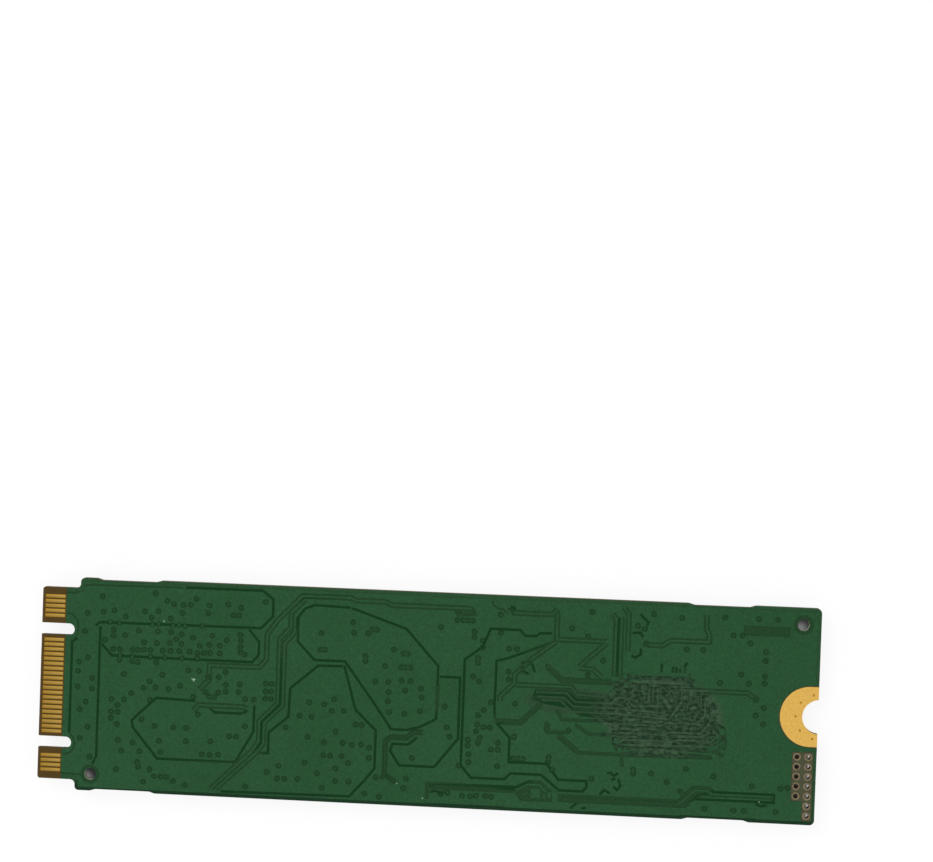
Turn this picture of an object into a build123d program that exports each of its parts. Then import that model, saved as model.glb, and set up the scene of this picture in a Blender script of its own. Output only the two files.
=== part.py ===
from build123d import *
import os

# M.2 solid-state drive card, 22 mm wide and 80 mm long, keyed for B and M sockets.
# It lies on its chips with the bare back up, as it would on a bench.
# Millimetres. +X runs from the edge connector to the screw notch, +Y towards pin 1,
# +Z out of the bare back. The tallest chips rest on z = 0.

# Card
BOARD_LENGTH = 80.0
CORE_THICKNESS = 0.72
PLATING_THICKNESS = 0.04
MASK_THICKNESS = 0.06
RELIEF_DEPTH = 0.035
END_CORNER_RADIUS = 0.5

# Edge connector. Pins are counted across both faces: odd on the chip side, even on the back.
PIN_COUNT = 75
PIN_STEP = 0.25
PIN_MARGIN = 0.675
KEY_PINS = ((12, 19), (59, 66))
KEY_WIDTH = 1.2
KEY_DEPTH = 3.5
FINGER_WIDTH = 0.35
FINGER_LENGTH = 2.1
FINGER_SETBACK = 0.35
FINGER_MASK_GAP = 0.1
TONGUE_LENGTH = 4.0
TONGUE_CORNER_RADIUS = 0.3
TONGUE_BEVEL = 0.22
SHOULDER_WIDTH = 1.075
SHOULDER_CORNER_RADIUS = 0.4
SHOULDER_FILLET = 0.5
FILLET_SHARE = 0.95

# Scars of the break-off tabs, shallow cuts with sloped ends in both long edges
SCAR_LENGTH = 6.8
SCAR_DEPTH = 0.18
SCAR_SLOPE = 0.6
SCAR_FROM_CONNECTOR = 9.0
SCAR_FROM_END = 10.0

# Screw notch and its gold pad
NOTCH_RADIUS = 1.75
NOTCH_OFFSET = 0.15
PAD_RADIUS = 3.05
PAD_INSET = 0.8
PAD_MASK_GAP = 0.12
STITCH_COUNT = 5
STITCH_ANGLE = 38.5
STITCH_FROM_NOTCH = 0.67
STITCH_RADIUS = 0.14

# Tooling holes, near two opposite corners
TOOLING_RADIUS = 0.6
TOOLING_CLEAR_RADIUS = 1.0
TOOLING_EDGE_INSET = 1.72
TOOLING_FROM_SHOULDER = 1.6
TOOLING_FROM_END = 1.8

# Header of plated holes between the screw notch and the corner
HEADER_PITCH = 1.0
HEADER_EDGE_INSET = 0.9
HEADER_PAD_GAP = 0.95
HEADER_END_INSET = 0.83
HEADER_COLUMN_STEP = 1.14
HEADER_SHORT_COUNT = 2
HEADER_HOLE_RADIUS = 0.23
HEADER_WALL = 0.035
HEADER_RING_RADIUS = 0.42
HEADER_FIT = 0.005
HEADER_MASK_GAP = 0.1
RING_SIDES = 8
DRILL_SIDES = 6
CLEAR_SIDES = 12

# Copper artwork under the back mask
COPPER_SETBACK = 0.35
GAP_WIDTH = 0.26
WIDE_GAP_WIDTH = 0.36
TRACE_WIDTH = 0.2
TRACE_CLEARANCE = 0.19
RIB_WIDTH = 0.19

# Chip packages: a moulded cap on a laminate substrate, on solder balls
MOULD_HEIGHT = 0.75
SUBSTRATE_HEIGHT = 0.25
BALL_HEIGHT = 0.25
BALL_WIDTH = 0.4
BALL_MARGIN = 0.9
PIN_ONE_RADIUS = 0.45
PIN_ONE_INSET = 1.1
PIN_ONE_DEPTH = 0.06
FLASH_WIDTH = 12.0
FLASH_LENGTH = 18.0
FLASH_BALL_PITCH = 1.0
FLASH_BALL_ROW_COUNT = 4
CONTROLLER_SIZE = 12.0
CONTROLLER_BALL_PITCH = 0.8
CONTROLLER_BALL_ROW_COUNT = 4
MEMORY_WIDTH = 7.5
MEMORY_LENGTH = 11.0
MEMORY_BALL_PITCH = 0.8
MEMORY_BALL_ROW_COUNT = 4

# Spacing of the parts on the chip side
CONNECTOR_KEEPOUT = 5.5
END_KEEPOUT = 4.5
CHIP_GAP = 2.2
PART_GAP = 0.6

# Power stage
COIL_SIZE = 4.0
COIL_HEIGHT = 1.05
COIL_CORNER = 0.5
COIL_COUNT = 3
COIL_GAP = 2.4
COIL_TERMINAL_WIDTH = 2.6
COIL_TERMINAL_LENGTH = 0.8
COIL_TERMINAL_HEIGHT = 0.12
MANAGER_SIZE = 5.0
MANAGER_HEIGHT = 0.65
MANAGER_LEAD_COUNT = 4
MANAGER_LEAD_PITCH = 0.95
MANAGER_PAD_SIZE = 3.2
LEAD_WIDTH = 0.3
LEAD_LENGTH = 0.45
LEAD_HEIGHT = 0.15
LEAD_REACH = 0.05

# Chip capacitors and resistors
BULK_LENGTH = 2.0
BULK_WIDTH = 1.25
BULK_HEIGHT = 0.95
BULK_CAP_LENGTH = 0.4
BULK_COUNT = 2
CHIP_LENGTH = 1.0
CHIP_WIDTH = 0.5
CHIP_CAP_LENGTH = 0.24
CAPACITOR_HEIGHT = 0.5
RESISTOR_HEIGHT = 0.35
CAP_PROUD = 0.02
CHIP_PITCH = 1.5
COLUMN_CHIP_COUNT = 3
COLUMN_PITCH = 5.6
ROW_CHIP_COUNT = 3
COLUMN_OFFSET = 0.5
COLUMN_CLEARANCE = 0.04

# Crystal, boot flash and regulator
CRYSTAL_LENGTH = 3.2
CRYSTAL_WIDTH = 2.5
CRYSTAL_BASE_HEIGHT = 0.45
CRYSTAL_LID_HEIGHT = 0.3
CRYSTAL_LID_INSET = 0.2
BOOT_LENGTH = 4.0
BOOT_WIDTH = 3.0
BOOT_HEIGHT = 0.5
BOOT_PAD_COUNT = 4
BOOT_PAD_PITCH = 0.8
REGULATOR_LENGTH = 2.9
REGULATOR_WIDTH = 1.6
REGULATOR_HEIGHT = 0.95
REGULATOR_LEAD_COUNT = 3
REGULATOR_LEAD_PITCH = 0.95
REGULATOR_LEAD_SPAN = 0.6
REGULATOR_LEAD_THICKNESS = 0.13

# Derived outline values
PIN_SPAN = (PIN_COUNT - 1) * PIN_STEP
TONGUE_WIDTH = PIN_SPAN + 2 * PIN_MARGIN
BOARD_WIDTH = TONGUE_WIDTH + 2 * SHOULDER_WIDTH
CONNECTOR_X = -BOARD_LENGTH / 2
END_X = BOARD_LENGTH / 2
SIDE_Y = BOARD_WIDTH / 2
SHOULDER_X = CONNECTOR_X + TONGUE_LENGTH
MASK_START_X = CONNECTOR_X + FINGER_SETBACK + FINGER_LENGTH + FINGER_MASK_GAP
PAD_X = END_X - PAD_INSET

# Heights: the card hangs above the floor by its tallest parts
PACKAGE_HEIGHT = BALL_HEIGHT + SUBSTRATE_HEIGHT + MOULD_HEIGHT
FRONT_Z = max(PACKAGE_HEIGHT, COIL_HEIGHT + COIL_TERMINAL_HEIGHT, BULK_HEIGHT, REGULATOR_HEIGHT)
CORE_BOTTOM_Z = FRONT_Z + MASK_THICKNESS
CORE_TOP_Z = CORE_BOTTOM_Z + CORE_THICKNESS

# The copper is drawn on a card of this size, and follows the real card's length and width
DRAWN_LENGTH = 80.0
DRAWN_WIDTH = 22.0

# Gaps between copper islands
ISLAND_GAPS = {
    "contact_bus": [(-36.2, 4.8), (-36.72, 4.35), (-36.72, -5.05)],
    "connector_rail": [(-33.81, 6.1), (-33.81, -7.4), (-34.2, -8.2)],
    "supply_top": [
        (-34.3, 6.1), (-33.9, 6.5), (-17.05, 6.6), (-15.9, 7.85), (-15.9, 9.6), (-17.0, 10.45),
        (-25.0, 10.45),
    ],
    "supply_bottom": [
        (-33.62, 4.3), (-32.5, 3.1), (-17.9, 3.05), (-17.25, 3.8), (-17.25, 5.2), (-18.3, 6.4),
    ],
    "diamond": [
        (-23.65, -1.2), (-27.75, -1.07), (-30.2, -3.5), (-30.1, -4.2), (-27.45, -7.35),
        (-19.3, -7.35), (-17.52, -4.1), (-17.5, -1.4),
    ],
    "diamond_pocket": [(-22.2, -1.8), (-21.6, -2.3), (-18.95, -2.3), (-18.2, -2.0)],
    "lower_middle_left": [
        (-17.0, -6.25), (-15.93, -6.25), (-15.93, -4.1), (-13.95, -2.4), (-13.85, 0.55), (-11.05, 3.0),
        (-8.5, 3.05),
    ],
    "lower_middle_right": [
        (-8.35, 3.1), (-7.05, -1.35), (-4.88, -3.4), (-4.88, -7.3), (-5.8, -8.5), (-7.4, -10.3),
        (-20.7, -10.42),
    ],
    "upper_middle_left": [
        (-7.9, 9.1), (-11.6, 9.2), (-12.6, 8.8), (-13.25, 7.9), (-13.25, 5.4), (-11.45, 3.56), (-8.3, 3.56),
        (-5.3, -0.4), (-3.3, -3.2), (-1.75, -3.2), (-0.4, -2.85), (1.25, -1.95), (1.3, -0.6),
    ],
    "upper_middle_right": [(1.3, 1.6), (1.3, 3.5), (-2.07, 7.16), (-7.75, 9.05)],
    "inner_island": [
        (-0.6, -3.9), (-1.5, -4.68), (-3.1, -4.68), (-3.35, -5.4), (-2.35, -6.87), (1.24, -6.87),
        (3.59, -3.87), (3.59, 2.42), (1.5, 2.42),
    ],
    "tall_island": [
        (12.8, 7.35), (11.55, 7.3), (11.2, 7.0), (10.07, 7.0), (9.56, 7.56), (6.53, 7.56), (5.8, 5.7),
        (4.0, 4.3), (3.97, -6.6), (5.06, -7.78), (8.45, -7.78), (9.1, -7.15), (12.2, -7.15), (14.1, -8.65),
        (16.5, -8.65), (16.87, -8.2), (16.85, -7.58), (13.97, -7.57), (12.75, -6.0), (8.85, -6.0),
        (8.85, -3.5), (7.5, -2.1),
    ],
    "channel": [(7.3, -1.6), (7.2, -0.3), (7.26, 4.3), (8.5, 4.65), (12.7, 6.35)],
}

# Broader gaps, beside the routing field and across the inner island
WIDE_GAPS = {
    "island_wall": [(1.33, -0.6), (1.33, 1.6)],
    "bundle_edge": [(7.3, -1.85), (9.9, -1.85), (12.0, 0.15)],
    "bundle_top": [(12.35, 4.0), (13.97, 2.55), (20.0, 2.55)],
    "arm_hook": [(12.65, -1.7), (12.65, -2.75), (14.9, -2.7)],
    "arm_low": [(13.8, -3.0), (15.9, -4.7), (20.0, -4.7)],
    "arm_mid": [(15.5, -1.85), (16.9, -2.75), (19.4, -2.75)],
    "arm_high": [(13.6, -0.4), (14.1, -1.4), (16.4, -1.4), (19.2, -1.3)],
}

# Traces, each a ribbon of copper with a clear line along both sides
TRACES = {
    "long_bus": [
        (4.3, 9.53), (-3.7, 9.53), (-4.3, 9.85), (-7.3, 9.85), (-7.9, 10.1), (-12.9, 10.1), (-15.38, 7.5),
        (-16.42, 6.0), (-16.42, 3.4), (-17.15, 2.55), (-22.3, 2.55), (-22.3, 1.0), (-23.3, 0.0),
    ],
    "pair_outer": [
        (-12.6, 9.75), (-14.0, 8.3), (-14.0, 6.8), (-15.1, 5.6), (-15.1, -1.05), (-16.95, -3.0),
        (-16.95, -5.1), (-17.7, -6.2), (-21.75, -10.2),
    ],
    "pair_inner": [
        (-13.6, 7.9), (-13.6, 6.3), (-14.6, 5.1), (-14.6, -1.25), (-16.45, -3.15), (-16.45, -5.3),
        (-17.2, -6.3), (-21.25, -10.2),
    ],
    "inner_strip": [
        (0.0, -3.4), (-1.0, -3.4), (-1.7, -4.0), (-3.3, -4.0), (-3.85, -4.4), (-3.85, -7.9), (-2.7, -8.6),
    ],
    "diamond_top": [(-23.85, -2.25), (-23.3, -1.6), (-18.8, -1.6), (-18.2, -1.75)],
    "top_link": [(8.4, 9.9), (8.9, 9.28), (12.8, 9.28), (13.3, 9.8)],
    "top_drop": [(13.3, 9.5), (13.3, 6.75), (18.4, 6.75)],
    "zigzag_upper": [(18.4, 6.6), (15.7, 4.1)],
    "zigzag_lower": [(15.7, 3.95), (17.1, 3.85), (18.0, 3.1)],
    "channel_run": [(13.2, 6.5), (11.0, 4.8), (9.15, 3.0), (9.15, 2.1), (7.75, 0.7), (7.75, 0.2)],
    "bundle_run": [(9.3, 1.95), (15.0, 1.95), (15.6, 1.2), (18.2, 1.1)],
    "right_run": [(26.0, 2.15), (32.8, 2.15), (33.9, 1.45)],
    "corner_run": [
        (22.6, 6.6), (24.06, 6.6), (24.9, 7.15), (28.75, 7.15), (28.75, 7.9),
        (28.45, 8.5), (28.45, 9.9),
    ],
    "riser_left": [(18.9, 9.6), (19.3, 9.1), (19.3, 3.2)],
    "riser_middle": [(19.82, 9.3), (19.82, 3.2)],
    "riser_right": [(20.05, 10.3), (20.55, 9.6), (20.55, 5.8)],
}

# Open fields with no copper but the ribs that cross them
FIELDS = {
    "routing": [
        (10.9, 0.5), (11.3, 1.6), (14.8, 1.6), (15.5, 0.85), (18.2, 0.8), (19.3, 2.2), (20.2, 3.6),
        (26.9, 3.9), (27.4, 2.5), (28.7, 1.8), (29.7, 0.7), (29.8, -0.9), (30.7, -1.5), (30.95, -2.8),
        (30.7, -4.4), (29.3, -4.8), (20.0, -4.9), (19.3, -3.6), (19.2, -1.1), (16.0, -1.0), (14.6, -0.2),
        (12.2, 0.15),
    ],
    "lower_left_band": [
        (0.4, -8.4), (9.6, -8.4), (11.0, -7.75), (12.2, -7.75), (13.4, -8.8), (13.4, -9.9), (10.2, -9.9),
        (9.6, -9.15), (0.8, -9.15), (0.8, -10.2), (0.4, -10.2),
    ],
    "lower_middle_band": [
        (14.0, -9.0), (26.2, -9.0), (27.6, -7.5), (29.3, -7.5), (29.9, -7.95), (36.0, -7.95), (36.0, -9.0),
        (27.8, -9.0), (27.0, -9.85), (14.0, -9.85),
    ],
    "corner_block": [(32.2, 9.0), (36.9, 9.0), (36.9, 8.0), (32.2, 8.0)],
}

# Ribs of copper that cross those fields
RIBS = {
    "routing_a": [
        (11.4, 1.3), (14.5, 1.3), (15.4, 0.45), (19.0, 0.45), (19.8, 1.1), (20.6, 1.1), (21.3, 0.3),
        (24.5, 0.4),
    ],
    "routing_b": [(11.5, 0.85), (14.3, 0.85), (15.2, 0.0), (20.2, -0.05), (24.6, -0.3)],
    "routing_c": [
        (12.0, 0.5), (13.9, 0.5), (15.1, -0.55), (20.4, -0.6), (25.0, -0.9), (26.2, 0.9), (26.2, 2.3),
    ],
    "routing_d": [(19.7, -1.6), (24.2, -1.6), (24.8, -1.25), (27.8, -1.25), (28.6, -0.4), (28.6, 1.2)],
    "routing_e": [(19.9, -2.5), (24.6, -2.5), (25.2, -2.2), (28.1, -2.2), (29.0, -1.3), (29.3, -0.2)],
    "routing_f": [(20.3, -3.2), (25.4, -3.15), (25.9, -2.95), (29.4, -2.95), (30.1, -2.2)],
    "routing_g": [(20.4, -3.7), (28.9, -3.5), (29.6, -3.75), (30.4, -3.0)],
    "routing_h": [(20.5, -4.35), (22.3, -4.05), (24.6, -4.05), (29.9, -4.3)],
    "routing_i": [(20.8, 2.9), (26.6, 2.9)],
    "lower_left": [(0.9, -8.78), (9.8, -8.78), (10.9, -8.2), (12.0, -8.2), (12.8, -8.9)],
    "lower_middle": [(14.4, -9.4), (26.4, -9.4), (27.9, -8.0), (29.1, -8.0), (29.6, -8.3), (35.6, -8.3)],
    "lower_right": [(28.4, -8.65), (35.6, -8.65)],
}


def placed(points):
    """Drawn copper points on the real card."""
    along = BOARD_LENGTH / DRAWN_LENGTH
    across = BOARD_WIDTH / DRAWN_WIDTH
    return [(x * along, y * across) for x, y in points]


def strokes(routes, width):
    """A band of even width along each drawn route."""
    return [trace(Polyline(*placed(points)), line_width=width) for points in routes.values()]


def corners_at(outline, x, y):
    """The outline's two corners at this distance from the middle line."""
    near = 1e-4
    return outline.vertices().filter_by(lambda v: abs(v.X - x) < near and abs(abs(v.Y) - y) < near)


def pin_y(pin):
    return ((PIN_COUNT + 1) / 2 - pin) * PIN_STEP


def spread(count, pitch):
    """Places of a row of equal steps, centred on zero."""
    return [(i - (count - 1) / 2) * pitch for i in range(count)]


def key_notch(first, last):
    y = (pin_y(first) + pin_y(last)) / 2
    round_x = CONNECTOR_X + KEY_DEPTH - KEY_WIDTH / 2
    mouth = Pos((CONNECTOR_X + round_x) / 2, y) * Rectangle(round_x - CONNECTOR_X, KEY_WIDTH)
    return mouth + Pos(round_x, y) * Circle(KEY_WIDTH / 2)


def tab_scar(x, side):
    half = SCAR_LENGTH / 2
    edge = side * SIDE_Y
    floor = side * (SIDE_Y - SCAR_DEPTH)
    flat = half - SCAR_SLOPE
    rim = Polyline((x - half, edge), (x - flat, floor), (x + flat, floor), (x + half, edge), close=True)
    return make_face(rim)


def board_outline():
    """The card's plan: stepped tongue, rounded corners, key notches, screw notch and tab scars."""
    body = Pos((SHOULDER_X + END_X) / 2, 0) * Rectangle(END_X - SHOULDER_X, BOARD_WIDTH)
    tongue = Pos(SHOULDER_X, 0) * Rectangle(2 * TONGUE_LENGTH, TONGUE_WIDTH)
    plan = body + tongue
    plan = fillet(corners_at(plan, END_X, SIDE_Y), END_CORNER_RADIUS)
    plan = fillet(corners_at(plan, SHOULDER_X, SIDE_Y), SHOULDER_CORNER_RADIUS)
    room = FILLET_SHARE * (SHOULDER_WIDTH - SHOULDER_CORNER_RADIUS)
    plan = fillet(corners_at(plan, SHOULDER_X, TONGUE_WIDTH / 2), min(SHOULDER_FILLET, room))
    plan = fillet(corners_at(plan, CONNECTOR_X, TONGUE_WIDTH / 2), TONGUE_CORNER_RADIUS)
    cuts = [key_notch(first, last) for first, last in KEY_PINS]
    cuts.append(Pos(END_X + NOTCH_OFFSET, 0) * Circle(NOTCH_RADIUS))
    for side in (-1, 1):
        cuts.append(tab_scar(CONNECTOR_X + SCAR_FROM_CONNECTOR, side))
        cuts.append(tab_scar(END_X - SCAR_FROM_END, side))
    return plan - cuts


def tooling_places():
    inset_y = SIDE_Y - TOOLING_EDGE_INSET
    return [Pos(SHOULDER_X + TOOLING_FROM_SHOULDER, -inset_y), Pos(END_X - TOOLING_FROM_END, inset_y)]


def header_columns():
    """Two columns of holes, the one by the end longer, counted from the card's corner."""
    room = SIDE_Y - HEADER_EDGE_INSET - PAD_RADIUS - HEADER_PAD_GAP
    count = int(room / HEADER_PITCH) + 1
    low = HEADER_EDGE_INSET - SIDE_Y
    outer = [(END_X - HEADER_END_INSET, low + i * HEADER_PITCH) for i in range(count)]
    inner = [(x - HEADER_COLUMN_STEP, y) for x, y in outer[HEADER_SHORT_COUNT:]]
    return outer, inner


def header_places():
    outer, inner = header_columns()
    return [Pos(x, y) for x, y in outer + inner]


def window_over(low, high):
    """A window in the mask over the rings from one header place to another."""
    reach = 2 * (HEADER_RING_RADIUS + HEADER_MASK_GAP)
    middle = Pos((low[0] + high[0]) / 2, (low[1] + high[1]) / 2)
    return middle * Rectangle(abs(high[0] - low[0]) + reach, high[1] - low[1] + reach)


def sided(radius, sides):
    """A small round hole or ring as an even-sided outline."""
    return RegularPolygon(radius, sides, rotation=180 / sides)


def mount_pad_plan(grow):
    """The U of gold round the screw notch, or its opening in the mask."""
    radius = PAD_RADIUS + grow
    straight = Pos((PAD_X + END_X) / 2, 0) * Rectangle(END_X - PAD_X, 2 * radius)
    return Pos(PAD_X, 0) * Circle(radius) + straight


def mount_pad(outline):
    plan = mount_pad_plan(0) & outline
    reach = NOTCH_RADIUS - NOTCH_OFFSET + STITCH_FROM_NOTCH
    holes = [
        Pos(END_X, 0) * Rot(0, 0, 180 + angle) * Pos(reach, 0) * sided(STITCH_RADIUS, DRILL_SIDES)
        for angle in spread(STITCH_COUNT, STITCH_ANGLE)
    ]
    return extrude(plan - holes, PLATING_THICKNESS)


def leading_bevel(face_z, inward):
    """The wedge milled off one face of the tongue's leading edge."""
    inner = face_z + inward * TONGUE_BEVEL
    back_x = CONNECTOR_X + TONGUE_BEVEL
    wedge = Polyline((CONNECTOR_X, face_z), (back_x, face_z), (CONNECTOR_X, inner), close=True)
    return extrude(Plane.XZ * make_face(wedge), TONGUE_WIDTH / 2, both=True)


def board_core(outline):
    plan = outline - [place * Circle(TOOLING_RADIUS) for place in tooling_places()]
    drill = HEADER_HOLE_RADIUS + HEADER_WALL + HEADER_FIT
    plan -= [place * sided(drill, DRILL_SIDES) for place in header_places()]
    return extrude(plan, CORE_THICKNESS) - [leading_bevel(0, 1), leading_bevel(CORE_THICKNESS, -1)]


def mask_plan(outline):
    """The mask covers all but the contacts, the pad, the header's corner and the tooling holes."""
    bare = MASK_START_X - CONNECTOR_X
    openings = [Pos(CONNECTOR_X + bare / 2, 0) * Rectangle(bare, BOARD_WIDTH), mount_pad_plan(PAD_MASK_GAP)]
    openings += [place * Circle(TOOLING_RADIUS) for place in tooling_places()]
    outer, inner = header_columns()
    openings += [window_over(outer[0], outer[-1]), window_over(inner[0], outer[-1])]
    return outline - openings


def copper_plan():
    """The copper stops short of the card's long edges and end, and of the tongue's sides."""
    reach = END_X - COPPER_SETBACK - SHOULDER_X - COPPER_SETBACK
    body = Pos((SHOULDER_X + END_X) / 2, 0) * Rectangle(reach, BOARD_WIDTH - 2 * COPPER_SETBACK)
    return body + Pos(SHOULDER_X, 0) * Rectangle(2 * TONGUE_LENGTH, TONGUE_WIDTH - 2 * COPPER_SETBACK)


def copper_relief(outline):
    """Where the mask sinks into the gaps of the copper."""
    low = [outline - copper_plan()]
    low += [place * sided(TOOLING_CLEAR_RADIUS, CLEAR_SIDES) for place in tooling_places()]
    low += strokes(ISLAND_GAPS, GAP_WIDTH)
    low += strokes(WIDE_GAPS, WIDE_GAP_WIDTH)
    low += strokes(TRACES, TRACE_WIDTH + 2 * TRACE_CLEARANCE)
    low += [make_face(Polyline(*placed(points), close=True)) for points in FIELDS.values()]
    ribbons = strokes(TRACES, TRACE_WIDTH) + strokes(RIBS, RIB_WIDTH)
    return Sketch() + low - ribbons


def solder_mask_back(outline):
    sheet = extrude(mask_plan(outline), MASK_THICKNESS)
    floor = MASK_THICKNESS - RELIEF_DEPTH
    return sheet - extrude(Pos(0, 0, floor) * copper_relief(outline), RELIEF_DEPTH)


def edge_contacts(first):
    """Gold fingers of one face: every second pin, apart from those at the keys."""
    cut = {pin for low, high in KEY_PINS for pin in range(low, high + 1)}
    x = CONNECTOR_X + FINGER_SETBACK + FINGER_LENGTH / 2
    height = PLATING_THICKNESS / 2
    pins = [pin for pin in range(first, PIN_COUNT + 1, 2) if pin not in cut]
    finger = Box(FINGER_LENGTH, FINGER_WIDTH, PLATING_THICKNESS)
    return [Pos(x, pin_y(pin), height) * finger for pin in pins]


def header_barrel():
    """One plated hole: a tube through the card with a ring on both faces, z = 0 at mid-thickness."""
    wall = HEADER_HOLE_RADIUS + HEADER_WALL
    tall = CORE_THICKNESS + 2 * PLATING_THICKNESS
    ring = extrude(sided(HEADER_RING_RADIUS, RING_SIDES), PLATING_THICKNESS)
    tube = extrude(sided(wall, DRILL_SIDES), tall / 2, both=True)
    rings = [Pos(0, 0, CORE_THICKNESS / 2) * ring, Pos(0, 0, -tall / 2) * ring]
    return tube + rings - extrude(sided(HEADER_HOLE_RADIUS, DRILL_SIDES), tall, both=True)


def hung(z, height):
    """Middle height of a part that hangs below the chip side, its upper face z below that side."""
    return FRONT_Z - z - height / 2


def package(x, width, length, pitch, block):
    """Moulded cap, substrate and the outer columns of balls, a block of rows from each end."""
    cap_z = hung(BALL_HEIGHT + SUBSTRATE_HEIGHT, MOULD_HEIGHT)
    cap = Pos(x, 0, cap_z) * Box(width, length, MOULD_HEIGHT)
    mark = Pos(x - width / 2 + PIN_ONE_INSET, length / 2 - PIN_ONE_INSET, cap_z - MOULD_HEIGHT / 2)
    cap -= mark * extrude(sided(PIN_ONE_RADIUS, RING_SIDES), PIN_ONE_DEPTH, both=True)
    board = Pos(x, 0, hung(BALL_HEIGHT, SUBSTRATE_HEIGHT)) * Box(width, length, SUBSTRATE_HEIGHT)
    reach = width / 2 - BALL_MARGIN
    rows = spread(int((length - 2 * BALL_MARGIN) / pitch) + 1, pitch)
    ends = sorted(set(rows[:block] + rows[-block:]))
    spots = [Pos(x + i, j, hung(0, BALL_HEIGHT)) for i in (-reach, reach) for j in ends]
    balls = [spot * Box(BALL_WIDTH, BALL_WIDTH, BALL_HEIGHT) for spot in spots]
    return cap, board, balls


def chip(place, length, width, height, cap_length):
    """A ceramic chip along X: its body and its two end caps, which stand a little proud."""
    reach = (length - cap_length) / 2
    middle = place * Pos(0, 0, hung(0, height))
    body = middle * Box(length - 2 * cap_length, width - 2 * CAP_PROUD, height - 2 * CAP_PROUD)
    caps = [middle * Pos(side * reach, 0, 0) * Box(cap_length, width, height) for side in (-1, 1)]
    return body, caps


def chip_group(places, length, width, height, cap_length):
    pairs = [chip(place, length, width, height, cap_length) for place in places]
    return [body for body, caps in pairs], [cap for body, caps in pairs for cap in caps]


def leads_under(x, y, half_x, half_y, count, pitch, sides):
    """Flat leads under a leadless package, reaching a little past its sides."""
    z = hung(0, LEAD_HEIGHT)
    leads = []
    for turn in sides:
        half = half_x if turn % 180 == 0 else half_y
        reach = half + LEAD_REACH - LEAD_LENGTH / 2
        for step in spread(count, pitch):
            spot = Pos(x, y, z) * Rot(0, 0, turn) * Pos(reach, step, 0)
            leads.append(spot * Box(LEAD_LENGTH, LEAD_WIDTH, LEAD_HEIGHT))
    return leads


def gull_wing(place):
    """One bent lead, from the middle of the package's side out and up to the card."""
    thick = REGULATOR_LEAD_THICKNESS
    middle = hung(0, REGULATOR_HEIGHT)
    foot = FRONT_Z - thick / 2
    bend = REGULATOR_LEAD_SPAN / 3
    path = Polyline((0, middle), (bend, middle), (2 * bend, foot), (REGULATOR_LEAD_SPAN, foot))
    return place * extrude(Plane.XZ * trace(path, line_width=thick), LEAD_WIDTH / 2, both=True)


def export(name, shape):
    pieces = list(shape) if isinstance(shape, list) else shape.solids()
    export_step(Compound(children=pieces) if len(pieces) > 1 else pieces[0], f"parts/{name}.step")


os.makedirs("parts", exist_ok=True)

# The card and what is on its faces
outline = board_outline()
top = Pos(0, 0, CORE_TOP_Z)
bottom = Pos(0, 0, CORE_BOTTOM_Z)
below = Pos(0, 0, CORE_BOTTOM_Z - PLATING_THICKNESS)
pad = mount_pad(outline)
barrel = header_barrel()
export("board_core", bottom * board_core(outline))
export("solder_mask_back", top * solder_mask_back(outline))
export("solder_mask_front", Pos(0, 0, FRONT_Z) * extrude(mask_plan(outline), MASK_THICKNESS))
export("edge_contacts_back", [top * finger for finger in edge_contacts(2)])
export("edge_contacts_front", [below * finger for finger in edge_contacts(1)])
export("mount_pad_back", top * pad)
export("mount_pad_front", below * pad)
middle_z = (CORE_BOTTOM_Z + CORE_TOP_Z) / 2
export("header_barrels", [Pos(0, 0, middle_z) * place * barrel for place in header_places()])

# Places along the chip side: power stage, flash packages, controller, memory
coil_x = CONNECTOR_X + CONNECTOR_KEEPOUT + COIL_SIZE / 2
bulk_x = coil_x + COIL_SIZE / 2 + PART_GAP + BULK_WIDTH / 2
manager_x = bulk_x + BULK_WIDTH / 2 + PART_GAP + MANAGER_SIZE / 2
flash_start = manager_x + MANAGER_SIZE / 2
memory_x = END_X - END_KEEPOUT - MEMORY_WIDTH / 2
controller_x = memory_x - MEMORY_WIDTH / 2 - CHIP_GAP - CONTROLLER_SIZE / 2
flash_room = controller_x - CONTROLLER_SIZE / 2 - flash_start
flash_least_gap = 2 * COLUMN_OFFSET + CHIP_WIDTH + 2 * COLUMN_CLEARANCE
flash_count = int((flash_room - flash_least_gap) / (FLASH_WIDTH + flash_least_gap))
flash_gap = (flash_room - flash_count * FLASH_WIDTH) / (flash_count + 1)
flash_step = FLASH_WIDTH + flash_gap

# Chip packages
controller_kind = (CONTROLLER_SIZE, CONTROLLER_SIZE, CONTROLLER_BALL_PITCH, CONTROLLER_BALL_ROW_COUNT)
memory_kind = (MEMORY_WIDTH, MEMORY_LENGTH, MEMORY_BALL_PITCH, MEMORY_BALL_ROW_COUNT)
flash_kind = (FLASH_WIDTH, FLASH_LENGTH, FLASH_BALL_PITCH, FLASH_BALL_ROW_COUNT)
packages = [("controller", controller_x, controller_kind), ("memory", memory_x, memory_kind)]
for i in range(flash_count):
    packages.append((f"flash_{i + 1}", flash_start + flash_step * (i + 1) - FLASH_WIDTH / 2, flash_kind))
for name, x, kind in packages:
    cap, board, balls = package(x, *kind)
    export(f"{name}_mould", cap)
    export(f"{name}_substrate", board)
    export(f"{name}_balls", balls)

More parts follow.
